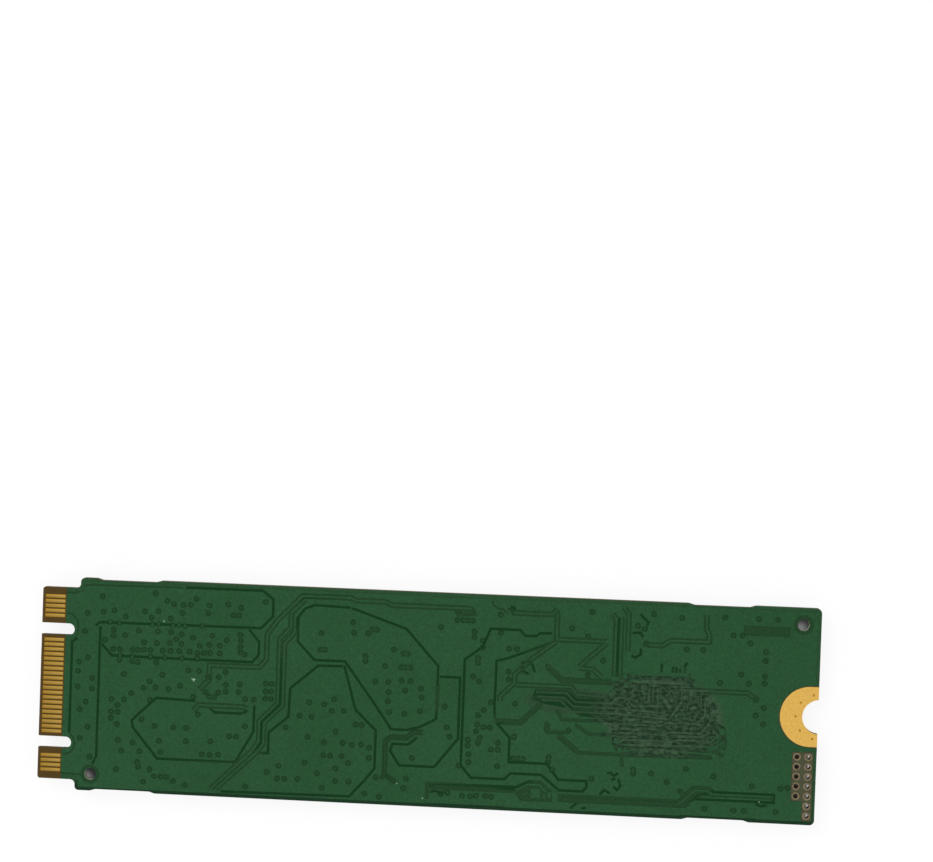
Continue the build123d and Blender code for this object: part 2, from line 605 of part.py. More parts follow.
# Coils, each on two flat terminals
coil_ys = spread(COIL_COUNT, COIL_SIZE + COIL_GAP)
coil_z = hung(COIL_TERMINAL_HEIGHT, COIL_HEIGHT)
coil_plan = Rectangle(COIL_SIZE, COIL_SIZE)
coil = extrude(chamfer(coil_plan.vertices(), COIL_CORNER), COIL_HEIGHT / 2, both=True)
export("coil_cores", [Pos(coil_x, y, coil_z) * coil for y in coil_ys])
terminal = Box(COIL_TERMINAL_LENGTH, COIL_TERMINAL_WIDTH, COIL_TERMINAL_HEIGHT)
terminal_x = (COIL_SIZE - COIL_TERMINAL_LENGTH) / 2
terminal_z = hung(0, COIL_TERMINAL_HEIGHT)
terminals = [Pos(coil_x + side * terminal_x, y, terminal_z) * terminal for y in coil_ys for side in (-1, 1)]
export("coil_terminals", terminals)

# Bulk capacitors beside each coil, along the card's width
upright = Rot(0, 0, 90)
bulk_step = BULK_LENGTH + PART_GAP
bulk_steps = spread(BULK_COUNT, bulk_step)
bulk_places = [Pos(bulk_x, y + step) * upright for y in coil_ys for step in bulk_steps]
bodies, caps = chip_group(bulk_places, BULK_LENGTH, BULK_WIDTH, BULK_HEIGHT, BULK_CAP_LENGTH)
export("bulk_capacitor_bodies", bodies)
export("bulk_capacitor_caps", caps)

# Power manager, a leadless package over its leads and heat pad
manager_half = MANAGER_SIZE / 2
manager_z = hung(LEAD_HEIGHT, MANAGER_HEIGHT)
export("power_manager_body", Pos(manager_x, 0, manager_z) * Box(MANAGER_SIZE, MANAGER_SIZE, MANAGER_HEIGHT))
heat_pad = Pos(manager_x, 0, hung(0, LEAD_HEIGHT)) * Box(MANAGER_PAD_SIZE, MANAGER_PAD_SIZE, LEAD_HEIGHT)
manager_leads = leads_under(
    manager_x, 0, manager_half, manager_half, MANAGER_LEAD_COUNT, MANAGER_LEAD_PITCH, (0, 90, 180, 270)
)
export("power_manager_leads", manager_leads + [heat_pad])

# Crystal and boot flash on one side of the controller
above_y = CONTROLLER_SIZE / 2 + PART_GAP
crystal_x = controller_x - (PART_GAP + CRYSTAL_LENGTH) / 2
crystal_y = above_y + CRYSTAL_WIDTH / 2
base_z = hung(0, CRYSTAL_BASE_HEIGHT)
lid_z = hung(CRYSTAL_BASE_HEIGHT, CRYSTAL_LID_HEIGHT)
lid_length = CRYSTAL_LENGTH - 2 * CRYSTAL_LID_INSET
lid_width = CRYSTAL_WIDTH - 2 * CRYSTAL_LID_INSET
crystal_base = Box(CRYSTAL_LENGTH, CRYSTAL_WIDTH, CRYSTAL_BASE_HEIGHT)
crystal_lid = Box(lid_length, lid_width, CRYSTAL_LID_HEIGHT)
export("crystal_base", Pos(crystal_x, crystal_y, base_z) * crystal_base)
export("crystal_lid", Pos(crystal_x, crystal_y, lid_z) * crystal_lid)
boot_x = controller_x + (PART_GAP + BOOT_LENGTH) / 2
boot_y = above_y + BOOT_WIDTH / 2
boot_z = hung(LEAD_HEIGHT, BOOT_HEIGHT)
export("boot_flash_body", Pos(boot_x, boot_y, boot_z) * Box(BOOT_LENGTH, BOOT_WIDTH, BOOT_HEIGHT))
boot_half_x = BOOT_LENGTH / 2
boot_half_y = BOOT_WIDTH / 2
boot_pads = leads_under(boot_x, boot_y, boot_half_x, boot_half_y, BOOT_PAD_COUNT, BOOT_PAD_PITCH, (0, 180))
export("boot_flash_pads", boot_pads)

# Regulator on bent leads below the memory
regulator_y = -MEMORY_LENGTH / 2 - PART_GAP - REGULATOR_LEAD_SPAN - REGULATOR_WIDTH / 2
regulator_z = hung(0, REGULATOR_HEIGHT)
regulator_place = Pos(memory_x, regulator_y, regulator_z)
export("regulator_body", regulator_place * Box(REGULATOR_LENGTH, REGULATOR_WIDTH, REGULATOR_HEIGHT))
regulator_leads = []
for turn in (90, 270):
    for step in spread(REGULATOR_LEAD_COUNT, REGULATOR_LEAD_PITCH):
        root = Pos(memory_x, regulator_y) * Rot(0, 0, turn) * Pos(REGULATOR_WIDTH / 2, step)
        regulator_leads.append(gull_wing(root))
export("regulator_leads", regulator_leads)

# Small chips: columns in the flash gaps, and rows by the manager, the controller and the memory
column_ys = spread(COLUMN_CHIP_COUNT, COLUMN_PITCH)
gap_xs = [flash_start + flash_gap / 2 + i * flash_step for i in range(flash_count + 1)]
capacitor_places = [Pos(x - COLUMN_OFFSET, y) * upright for x in gap_xs for y in column_ys]
resistor_places = [Pos(x + COLUMN_OFFSET, y) * upright for x in gap_xs for y in column_ys[1:-1]]
manager_row_y = manager_half + LEAD_REACH + PART_GAP + CHIP_LENGTH / 2
capacitor_places += [Pos(manager_x, side * manager_row_y) * upright for side in (-1, 1)]
controller_row_y = -above_y - CHIP_LENGTH / 2
row_steps = spread(ROW_CHIP_COUNT, CHIP_PITCH)
capacitor_places += [Pos(controller_x + step, controller_row_y) * upright for step in row_steps]
memory_row_y = MEMORY_LENGTH / 2 + PART_GAP + CHIP_LENGTH / 2
resistor_places += [Pos(memory_x + step, memory_row_y) * upright for step in row_steps]
bodies, caps = chip_group(capacitor_places, CHIP_LENGTH, CHIP_WIDTH, CAPACITOR_HEIGHT, CHIP_CAP_LENGTH)
export("small_capacitor_bodies", bodies)
export("small_capacitor_caps", caps)
bodies, caps = chip_group(resistor_places, CHIP_LENGTH, CHIP_WIDTH, RESISTOR_HEIGHT, CHIP_CAP_LENGTH)
export("resistor_bodies", bodies)
export("resistor_caps", caps)
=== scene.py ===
# %% [markdown]
# # A storage card seen from its bare back
# The card is a thin board, 22 by 80 mm, that lies on its chips. What shows is green solder mask over
# copper, gold contacts at one end, and a gold pad round the screw notch at the other. The CAD frame holds
# every solid at its real size, so this lesson only dresses it: finishes, the mask's fine relief, and softer
# edges.

import math

import bmesh
import bpy
from mathutils import Matrix, Vector
from mathutils.bvhtree import BVHTree


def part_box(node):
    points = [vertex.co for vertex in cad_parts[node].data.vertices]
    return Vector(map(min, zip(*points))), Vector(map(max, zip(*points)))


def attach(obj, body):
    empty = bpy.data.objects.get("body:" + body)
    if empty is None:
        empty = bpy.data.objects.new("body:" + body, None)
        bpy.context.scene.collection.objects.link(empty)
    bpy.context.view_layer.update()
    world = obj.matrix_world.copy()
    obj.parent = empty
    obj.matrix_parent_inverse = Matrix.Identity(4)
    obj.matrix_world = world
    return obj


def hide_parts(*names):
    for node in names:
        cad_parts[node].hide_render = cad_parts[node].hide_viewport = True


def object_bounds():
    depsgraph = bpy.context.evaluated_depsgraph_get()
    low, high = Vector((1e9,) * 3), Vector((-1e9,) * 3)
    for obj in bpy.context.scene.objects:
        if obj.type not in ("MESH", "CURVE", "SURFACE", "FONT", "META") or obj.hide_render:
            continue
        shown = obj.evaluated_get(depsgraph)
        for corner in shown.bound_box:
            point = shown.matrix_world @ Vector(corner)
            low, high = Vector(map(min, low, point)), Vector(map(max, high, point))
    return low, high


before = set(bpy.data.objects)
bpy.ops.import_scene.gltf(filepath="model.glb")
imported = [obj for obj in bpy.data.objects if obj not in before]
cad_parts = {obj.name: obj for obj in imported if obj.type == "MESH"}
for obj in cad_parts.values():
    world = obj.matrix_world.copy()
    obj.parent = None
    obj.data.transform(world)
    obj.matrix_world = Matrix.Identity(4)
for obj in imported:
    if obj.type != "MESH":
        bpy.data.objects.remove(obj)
cad_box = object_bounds()
MM = 0.001
size_mm = [round(c / MM, 2) for c in cad_box[1] - cad_box[0]]
print("frame:", len(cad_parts), "nodes, box in mm", size_mm)

# %% [markdown]
# ## Camera
# The picture was taken from almost straight above with a long lens, and the card fills its lower third. A
# camera with no shift does that: it stands above the middle of the picture and leans by a few degrees. Its
# place and its turn come from laying the card's corners and its relief over the picture, with the back of
# the card as the ground plane.

# %% Camera
LENS_MM = 76.21
SENSOR_MM = 36.0
CAMERA_ABOVE_BACK_MM = (15.09, 31.16, 201.18)
CAMERA_TURN_DEG = (-1.0, 3.348, 2.135)
NEAREST_MM = 10.0

back_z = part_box("solder_mask_back")[1].z
camera = bpy.data.objects.new("camera", bpy.data.cameras.new("camera"))
bpy.context.scene.collection.objects.link(camera)
camera.data.sensor_width = SENSOR_MM
camera.data.lens = LENS_MM
camera.rotation_mode = "ZYX"
camera.rotation_euler = [math.radians(a) for a in CAMERA_TURN_DEG]
camera.location = Vector(CAMERA_ABOVE_BACK_MM) * MM + Vector((0, 0, back_z))
camera.data.clip_start = NEAREST_MM * MM
bpy.context.scene.camera = camera
print("camera at mm", [round(c / MM, 1) for c in camera.location])

# %% [markdown]
# ## Small helpers for finishes
# Every finish is a node tree. One function turns a colour, given as an sRGB hex value, into
# the linear colour that shaders work in. Another adds one node with its settings and links; where a socket
# is given a whole node, it takes that node's first output. Pattern sizes are given in millimetres and
# turned into the scale that a texture node takes.

# %% Helpers for finishes
def colour(hex_code):
    """An sRGB hex value as a linear colour."""
    parts = [int(hex_code[i:i + 2], 16) / 255 for i in (0, 2, 4)]
    linear = [c / 12.92 if c <= 0.04045 else ((c + 0.055) / 1.055) ** 2.4 for c in parts]
    return (*linear, 1.0)


def link(tree, node, sockets):
    """Each named socket of a node is set to a value, or linked to an output or to a node's first output."""
    for name, value in sockets.items():
        if isinstance(value, bpy.types.Node):
            value = value.outputs[0]
        if isinstance(value, bpy.types.NodeSocket):
            tree.links.new(value, node.inputs[name])
        else:
            node.inputs[name].default_value = value


def add(tree, kind, sockets=None, **settings):
    """One shader node with its settings, and its sockets set or linked."""
    made = tree.nodes.new("ShaderNode" + kind)
    for name, value in settings.items():
        setattr(made, name, value)
    link(tree, made, sockets or {})
    return made


def per(size_mm):
    """The texture scale whose pattern repeats about every size_mm."""
    return 1 / (size_mm * MM)


def finish(name, metallic=0.0, roughness=0.5, specular=0.5):
    """A new material with a Principled shader; also its tree, its shader and its Object coordinates."""
    material = bpy.data.materials.new(name)
    material.use_nodes = True
    tree = material.node_tree
    shader = tree.nodes["Principled BSDF"]
    link(tree, shader, {"Metallic": metallic, "Roughness": roughness, "Specular IOR Level": specular})
    place = add(tree, "TexCoord").outputs["Object"]
    return material, tree, shader, place


print("half grey, 808080, is", round(colour("808080")[0], 3), "in linear light")

# %% [markdown]
# ## Mask over the copper
# Solder mask is a thin layer of green epoxy, screened over the copper and cured. Over copper it is a full
# green with slow clouds. In the routing field, and in the fan of traces beside it, the copper is broken up
# more finely than a mesh can hold. There a pattern of short streaks in two duller greens, drawn a little
# coarser than the real traces so that it shows, stands for them.

# %% Mask over the copper
CLOUD_MM = 8.0
FINEST_MM = (0.55, 0.3, 1.0)
FINEST_SPREAD = (0.4, 0.6)
FIELD_MIDDLE_MM = (24.3, -0.6, 0.0)
FIELD_REACH_MM = (7.8, 5.0, 1000.0)
RIBS_FADE = (0.85, 0.7)
FAN_MIDDLE_MM = (15.2, 0.55, 0.0)
FAN_REACH_MM = (5.6, 1.5, 1000.0)
FAN_FADE = (1.0, 0.8)


def within(tree, place, middle_mm, reach_mm, fade, most):
    """How far a place belongs to an ellipse: from 0 to most between two shares of the ellipse's reach."""
    away = add(tree, "VectorMath", {0: place, 1: [-c * MM for c in middle_mm]}, operation="ADD")
    share = add(tree, "VectorMath", {0: away, 1: [per(c) for c in reach_mm]}, operation="MULTIPLY")
    length = add(tree, "VectorMath", {0: share}, operation="LENGTH").outputs["Value"]
    return add(tree, "MapRange", {
        "Value": length, "From Min": fade[0], "From Max": fade[1], "To Max": most,
    }, interpolation_type="SMOOTHSTEP")


def streaks(tree, place):
    """Short streaks, 0 to 1, for the traces that are too fine to draw."""
    stretch = add(tree, "Mapping", {"Vector": place, "Scale": [per(size) for size in FINEST_MM]})
    drift = add(tree, "TexNoise", {"Vector": stretch, "Scale": 1.0, "Detail": 1.0})
    return add(tree, "MapRange", {
        "Value": drift, "From Min": FINEST_SPREAD[0], "From Max": FINEST_SPREAD[1],
    })


def copper_green(tree, place, routed):
    """The mask's colour over copper: a clouded green, duller where the traces are finest."""
    cloud = add(tree, "TexNoise", {"Vector": place, "Scale": per(CLOUD_MM), "Detail": 3.0})
    pour = add(tree, "MixRGB", {"Fac": cloud, "Color1": colour("1E4727"), "Color2": colour("275031")})
    fan = within(tree, place, FAN_MIDDLE_MM, FAN_REACH_MM, FAN_FADE, routed)
    pour = add(tree, "MixRGB", {"Fac": fan, "Color1": pour, "Color2": colour("28452D")})
    fine = streaks(tree, place)
    ribs = add(tree, "MixRGB", {"Fac": fine, "Color1": colour("2C442E"), "Color2": colour("39523C")})
    field = within(tree, place, FIELD_MIDDLE_MM, FIELD_REACH_MM, RIBS_FADE, routed)
    return add(tree, "MixRGB", {"Fac": field, "Color1": pour, "Color2": ribs})


print("finest traces drawn as streaks of", FINEST_MM[:2], "mm")

# %% [markdown]
# ## Mask in the gaps
# In the gaps the copper is missing, so the mask lies lower and the brown laminate dulls it. In the
# gaps between islands it is darkest: partly the mask pools there, and partly this is painted shade of the
# narrow recess, so each gap's width, kept on the mesh, sets how dark it is.
# Along the card's rim the copper stops short and no wall stands opposite: there the mask is a plain green,
# which painted shade darkens on the lower rim.

# %% Mask in the gaps
POOL_AND_SHADE_MM = (0.235, 0.29)
POOL_AND_SHADE_BLEND_MM = 0.04
RIM_MM = (2.2, 2.6)
SHADED_LOWER_RIM_MM = (-10.3, -9.9)
FIELD_FADE = (1.02, 0.8)


def gap_green(tree, place, routed):
    """The mask's colour without copper: dull, darkest in narrow gaps (pooled mask and painted shade), with
    painted shade on the lower rim, streaked in the field.
    """
    width = add(tree, "Attribute", attribute_name="gap_width_mm").outputs["Fac"]
    wide_enough = add(tree, "MapRange", {
        "Value": width, "From Min": POOL_AND_SHADE_MM[0] - POOL_AND_SHADE_BLEND_MM, "From Max": POOL_AND_SHADE_MM[0],
    })
    not_too_wide = add(tree, "MapRange", {
        "Value": width, "From Min": POOL_AND_SHADE_MM[1] + POOL_AND_SHADE_BLEND_MM, "From Max": POOL_AND_SHADE_MM[1],
    })
    # painted shade: gaps of these widths are darkened as narrow shaded recesses, on top of the pooled mask
    pooled_and_shaded = add(tree, "Math", {0: wide_enough, 1: not_too_wide}, operation="MULTIPLY")
    gap = add(tree, "MixRGB", {"Fac": pooled_and_shaded, "Color1": colour("1C3E22"), "Color2": colour("063413")})
    split = add(tree, "SeparateXYZ", {"Vector": place})
    # painted shade: the rim's green darkens towards the card's lower edge
    upper = add(tree, "MapRange", {
        "Value": split.outputs["Y"], "From Min": SHADED_LOWER_RIM_MM[0] * MM, "From Max": SHADED_LOWER_RIM_MM[1] * MM,
    })
    edge = add(tree, "MixRGB", {"Fac": upper, "Color1": colour("10301A"), "Color2": colour("24482B")})
    rim = add(tree, "MapRange", {"Value": width, "From Min": RIM_MM[0], "From Max": RIM_MM[1]})
    gap = add(tree, "MixRGB", {"Fac": rim, "Color1": gap, "Color2": edge})
    fine = streaks(tree, place)
    bed = add(tree, "MixRGB", {"Fac": fine, "Color1": colour("152E19"), "Color2": colour("2B4530")})
    field = within(tree, place, FIELD_MIDDLE_MM, FIELD_REACH_MM, FIELD_FADE, routed)
    return add(tree, "MixRGB", {"Fac": field, "Color1": gap, "Color2": bed})


print("gaps of", POOL_AND_SHADE_MM, "mm are the darkest")

# %% [markdown]
# ## Green solder mask
# The mask's relief is real here, so height can tell copper from gap: the finish reads the Z of the Object
# coordinates and blends the two greens by it. The cloth in the laminate prints through as a faint weave,
# and the cured surface has a soft orange peel. The back has the routing field; the component side has not.

# %% Green solder mask
MASK_GAP_MM = 0.027
MASK_COPPER_MM = 0.056
PEEL_MM = 0.2
PEEL_DEPTH_MM = 0.02
PEEL_SPREAD = (0.3, 0.7)
MOTTLE = (0.8, 1.2)
WEAVE_MM = 0.55
WEAVE_SHARE = 0.25


def green_solder_mask(name, node, up, routed):
    """Semi-matt green, darker where it sinks; up is the way the face looks, and routed adds the field."""
    material, tree, shader, place = finish(name, roughness=0.5, specular=0.1)
    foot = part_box(node)[0 if up > 0 else 1].z
    split = add(tree, "SeparateXYZ", {"Vector": place})
    rise = add(tree, "Math", {0: split.outputs["Z"], 1: up, 2: -up * foot}, operation="MULTIPLY_ADD")
    lift = add(tree, "MapRange", {
        "Value": rise, "From Min": MASK_GAP_MM * MM, "From Max": MASK_COPPER_MM * MM,
    }, interpolation_type="SMOOTHSTEP")
    gap = gap_green(tree, place, routed)
    green = add(tree, "MixRGB", {"Fac": lift, "Color1": gap, "Color2": copper_green(tree, place, routed)})
    peel = add(tree, "TexNoise", {"Vector": place, "Scale": per(PEEL_MM), "Detail": 3.0, "Roughness": 0.6})
    mottle = add(tree, "MapRange", {
        "Value": peel, "From Min": PEEL_SPREAD[0], "From Max": PEEL_SPREAD[1],
        "To Min": MOTTLE[0], "To Max": MOTTLE[1],
    })
    mottled = add(tree, "HueSaturation", {"Color": green, "Value": mottle})
    threads = []
    turns = math.tau * per(WEAVE_MM)
    for axis in ("X", "Y"):
        turn = add(tree, "Math", {0: split.outputs[axis], 1: turns}, operation="MULTIPLY")
        threads.append(add(tree, "Math", {0: turn}, operation="SINE"))
    weave = add(tree, "Math", {0: threads[0], 1: threads[1]}, operation="MULTIPLY")
    height = add(tree, "Math", {0: weave, 1: WEAVE_SHARE, 2: peel}, operation="MULTIPLY_ADD")
    bump = add(tree, "Bump", {"Strength": 0.2, "Distance": PEEL_DEPTH_MM * MM, "Height": height})
    link(tree, shader, {"Base Color": mottled, "Normal": bump})
    return material


mask_finish = green_solder_mask("green_solder_mask", "solder_mask_back", 1, 1.0)
front_green = green_solder_mask("front_solder_mask", "solder_mask_front", -1, 0.0)
print("finishes:", mask_finish.name, front_green.name)

# %% [markdown]
# ## Bare laminate
# The card itself is glass cloth in brown epoxy. It shows between the contacts, in the open corner by the
# header and round the edges, where the routing tool left it dull and a little darker.

# %% Bare laminate
STREAK_MM = (0.9, 0.06, 0.06)
HEADER_SIDE_MM = 30.0
DRILLED_MM = ((-34.4, -9.28, 0.0), (38.2, 9.28, 0.0))
DRILLED_WALL_MM = 0.66
FIBRE_DEPTH_MM = 0.02


def bare_laminate():
    """Dull brown glass epoxy with short pale fibres, olive by the header and grey where a drill cut it."""
    material, tree, shader, place = finish("bare_laminate", roughness=0.62, specular=0.15)
    split = add(tree, "SeparateXYZ", {"Vector": place})
    stretch = add(tree, "Mapping", {"Vector": place, "Scale": [per(size) for size in STREAK_MM]})
    streak = add(tree, "TexNoise", {"Vector": stretch, "Scale": 1.0, "Detail": 3.0})
    side = add(tree, "Math", {0: split.outputs["X"], 1: HEADER_SIDE_MM * MM}, operation="GREATER_THAN")
    dark = add(tree, "MixRGB", {"Fac": side, "Color1": colour("3A2A0C"), "Color2": colour("33371F")})
    pale = add(tree, "MixRGB", {"Fac": side, "Color1": colour("5A4216"), "Color2": colour("525640")})
    brown = add(tree, "MixRGB", {"Fac": streak, "Color1": dark, "Color2": pale})
    flat = add(tree, "VectorMath", {0: place, 1: (1, 1, 0)}, operation="MULTIPLY")
    away = [
        add(tree, "VectorMath", {0: flat, 1: [c * MM for c in hole]}, operation="DISTANCE").outputs["Value"]
        for hole in DRILLED_MM
    ]
    nearest = add(tree, "Math", {0: away[0], 1: away[1]}, operation="MINIMUM")
    cut = add(tree, "Math", {0: nearest, 1: DRILLED_WALL_MM * MM}, operation="LESS_THAN")
    walled = add(tree, "MixRGB", {"Fac": cut, "Color1": brown, "Color2": colour("A9AC98")})
    bump = add(tree, "Bump", {"Strength": 0.2, "Distance": FIBRE_DEPTH_MM * MM, "Height": streak})
    link(tree, shader, {"Base Color": walled, "Normal": bump})
    return material


laminate_finish = bare_laminate()
print("finish:", laminate_finish.name)

# %% [markdown]
# ## Gold, tin and nickel
# The mounting pads are copper with a thin coat of gold, soft and pale, with a light mottle. The header's
# holes and all the soldered ends are tin, and the crystal's lid is nickel, brushed along the card. One
# function makes all of them from two colours and a pattern size. The contacts have a harder gold of their
# own, which comes with them.

# %% Gold, tin and nickel
COAT_DEPTH_MM = 0.01


def metal(name, dark, pale, roughness, pattern_mm, contrast=0.5):
    """A thin metal coat that drifts between two tones in a pattern of the given size along X, Y and Z."""
    material, tree, shader, place = finish(name, metallic=1.0, roughness=roughness)
    stretch = add(tree, "Mapping", {"Vector": place, "Scale": [per(size) for size in pattern_mm]})
    drift = add(tree, "TexNoise", {"Vector": stretch, "Scale": 1.0, "Detail": 5.0, "Roughness": 0.6})
    spread = add(tree, "MapRange", {
        "Value": drift, "From Min": 0.5 - contrast / 2, "From Max": 0.5 + contrast / 2,
    })
    tone = add(tree, "MixRGB", {"Fac": spread, "Color1": colour(dark), "Color2": colour(pale)})
    bump = add(tree, "Bump", {"Strength": 0.1, "Distance": COAT_DEPTH_MM * MM, "Height": drift})
    link(tree, shader, {"Base Color": tone, "Normal": bump})
    return material


pad_gold = metal(
    "soft_gold_pad", "D5A74B", "EFC46A", roughness=0.45, pattern_mm=(0.3, 0.3, 0.3), contrast=0.7,
)
plug_gold = metal(
    "dimpled_gold_plug", "A67B2C", "BE923C", roughness=0.5, pattern_mm=(0.2, 0.2, 0.2),
)
hole_tin = metal(
    "dull_plated_hole", "5C533F", "96876C", roughness=0.5, pattern_mm=(0.25, 0.25, 0.25),
)
solder_tin = metal(
    "reflowed_solder", "8C8E90", "B9BBBC", roughness=0.3, pattern_mm=(0.3, 0.3, 0.3),
)
lid_nickel = metal(
    "brushed_nickel_lid", "9A978E", "BDBAB0", roughness=0.34, pattern_mm=(2.0, 0.08, 0.5),
)
print("finishes:", [m.name for m in (pad_gold, plug_gold, hole_tin, solder_tin, lid_nickel)])

# %% [markdown]
# ## Mould compound, ceramic and ferrite
# The chips are moulded in black epoxy filled with fine silica, which gives a grey bloom and a tight grain.
# The small parts are fired ceramic and pressed ferrite, duller and coarser. They all share one recipe: two
# tones that drift in a grain of a real size, and a bump from the same grain.

# %% Mould compound, ceramic and ferrite
def grained(name, dark, pale, roughness, grain_mm, bump_mm, specular=0.4):
    """A matt solid whose two tones and fine relief come from one grain."""
    material, tree, shader, place = finish(name, roughness=roughness, specular=specular)
    grain = add(tree, "TexNoise", {
        "Vector": place, "Scale": per(grain_mm), "Detail": 6.0, "Roughness": 0.65,
    })
    tone = add(tree, "MixRGB", {"Fac": grain, "Color1": colour(dark), "Color2": colour(pale)})
    bump = add(tree, "Bump", {"Strength": 0.3, "Distance": bump_mm * MM, "Height": grain})
    link(tree, shader, {"Base Color": tone, "Normal": bump})
    return material


mould_black = grained(
    "black_mould_compound", "121214", "26262A", roughness=0.55, grain_mm=0.12, bump_mm=0.01,
)
substrate_green = grained(
    "green_package_laminate", "12301C", "234A2C", roughness=0.45, grain_mm=0.5, bump_mm=0.005,
)
ferrite_grey = grained(
    "pressed_ferrite", "1C1C1F", "38383C", roughness=0.6, grain_mm=0.2, bump_mm=0.02,
)
capacitor_tan = grained(
    "tan_capacitor_ceramic", "6E5236", "9A7650", roughness=0.4, grain_mm=0.3, bump_mm=0.005,
)
resistor_black = grained(
    "black_resistor_glaze", "0E0E11", "1E1E24", roughness=0.3, grain_mm=0.3, bump_mm=0.003,
)
crystal_ceramic = grained(
    "dark_crystal_ceramic", "201C18", "3A342C", roughness=0.5, grain_mm=0.2, bump_mm=0.008,
)
ceramics = (ferrite_grey, capacitor_tan, resistor_black, crystal_ceramic)
print("finishes:", [m.name for m in (mould_black, substrate_green, *ceramics)])

# %% [markdown]
# ## Helpers for pieces
# A CAD mesh arrives as loose triangles, so a copy is merged before any operator works on it. A finished
# piece rides on the one body and may stand for a CAD node. What is round
# is a section spun a full turn.

# %% Helpers for pieces
MERGE = 1e-7
FLAT = math.radians(1)


def merged(node):
    """A copy of a CAD node's mesh with its loose triangles joined."""
    bm = bmesh.new()
    bm.from_mesh(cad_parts[node].data)
    bmesh.ops.remove_doubles(bm, verts=bm.verts, dist=MERGE)
    return bm


def piece(bm, name, material, slot, *stands_for):
    """A finished piece from a bmesh: dressed, riding on the card, and standing for CAD nodes if named."""
    mesh = bpy.data.meshes.new(name)
    bm.to_mesh(mesh)
    bm.free()
    made = bpy.data.objects.new(name, mesh)
    bpy.context.scene.collection.objects.link(made)
    mesh.materials.append(material)
    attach(made, "root")
    if stands_for:
        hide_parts(*stands_for)
    print("piece:", name, len(mesh.polygons), "faces")
    return made


def dress(node, material):
    """A CAD node that keeps its shape and gets a finish."""
    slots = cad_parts[node].data.materials
    slots.clear()
    slots.append(material)


def turned(bm, section, x, y, steps, closed=True):
    """A section, with radii in mm and heights in metres, spun round an upright axis at x, y in mm."""
    verts = [bm.verts.new(((x + r) * MM, y * MM, z)) for r, z in section]
    edges = [bm.edges.new((verts[i - 1], verts[i])) for i in range(0 if closed else 1, len(verts))]
    bmesh.ops.spin(
        bm, geom=verts + edges, cent=(x * MM, y * MM, 0), axis=(0, 0, 1), angle=math.tau,
        steps=steps, use_merge=True,
    )


print("points closer than", MERGE / MM, "mm are one")

# %% [markdown]
# ## Vias in the mask
# A via is a plated hole that joins copper layers. Where it passes through a copper area that it must not
# touch, a ring of copper is etched away round it, and the mask sinks into that ring. So each via shows as a
# dark ring with a green middle. Their places are listed by the part of the card they are in.

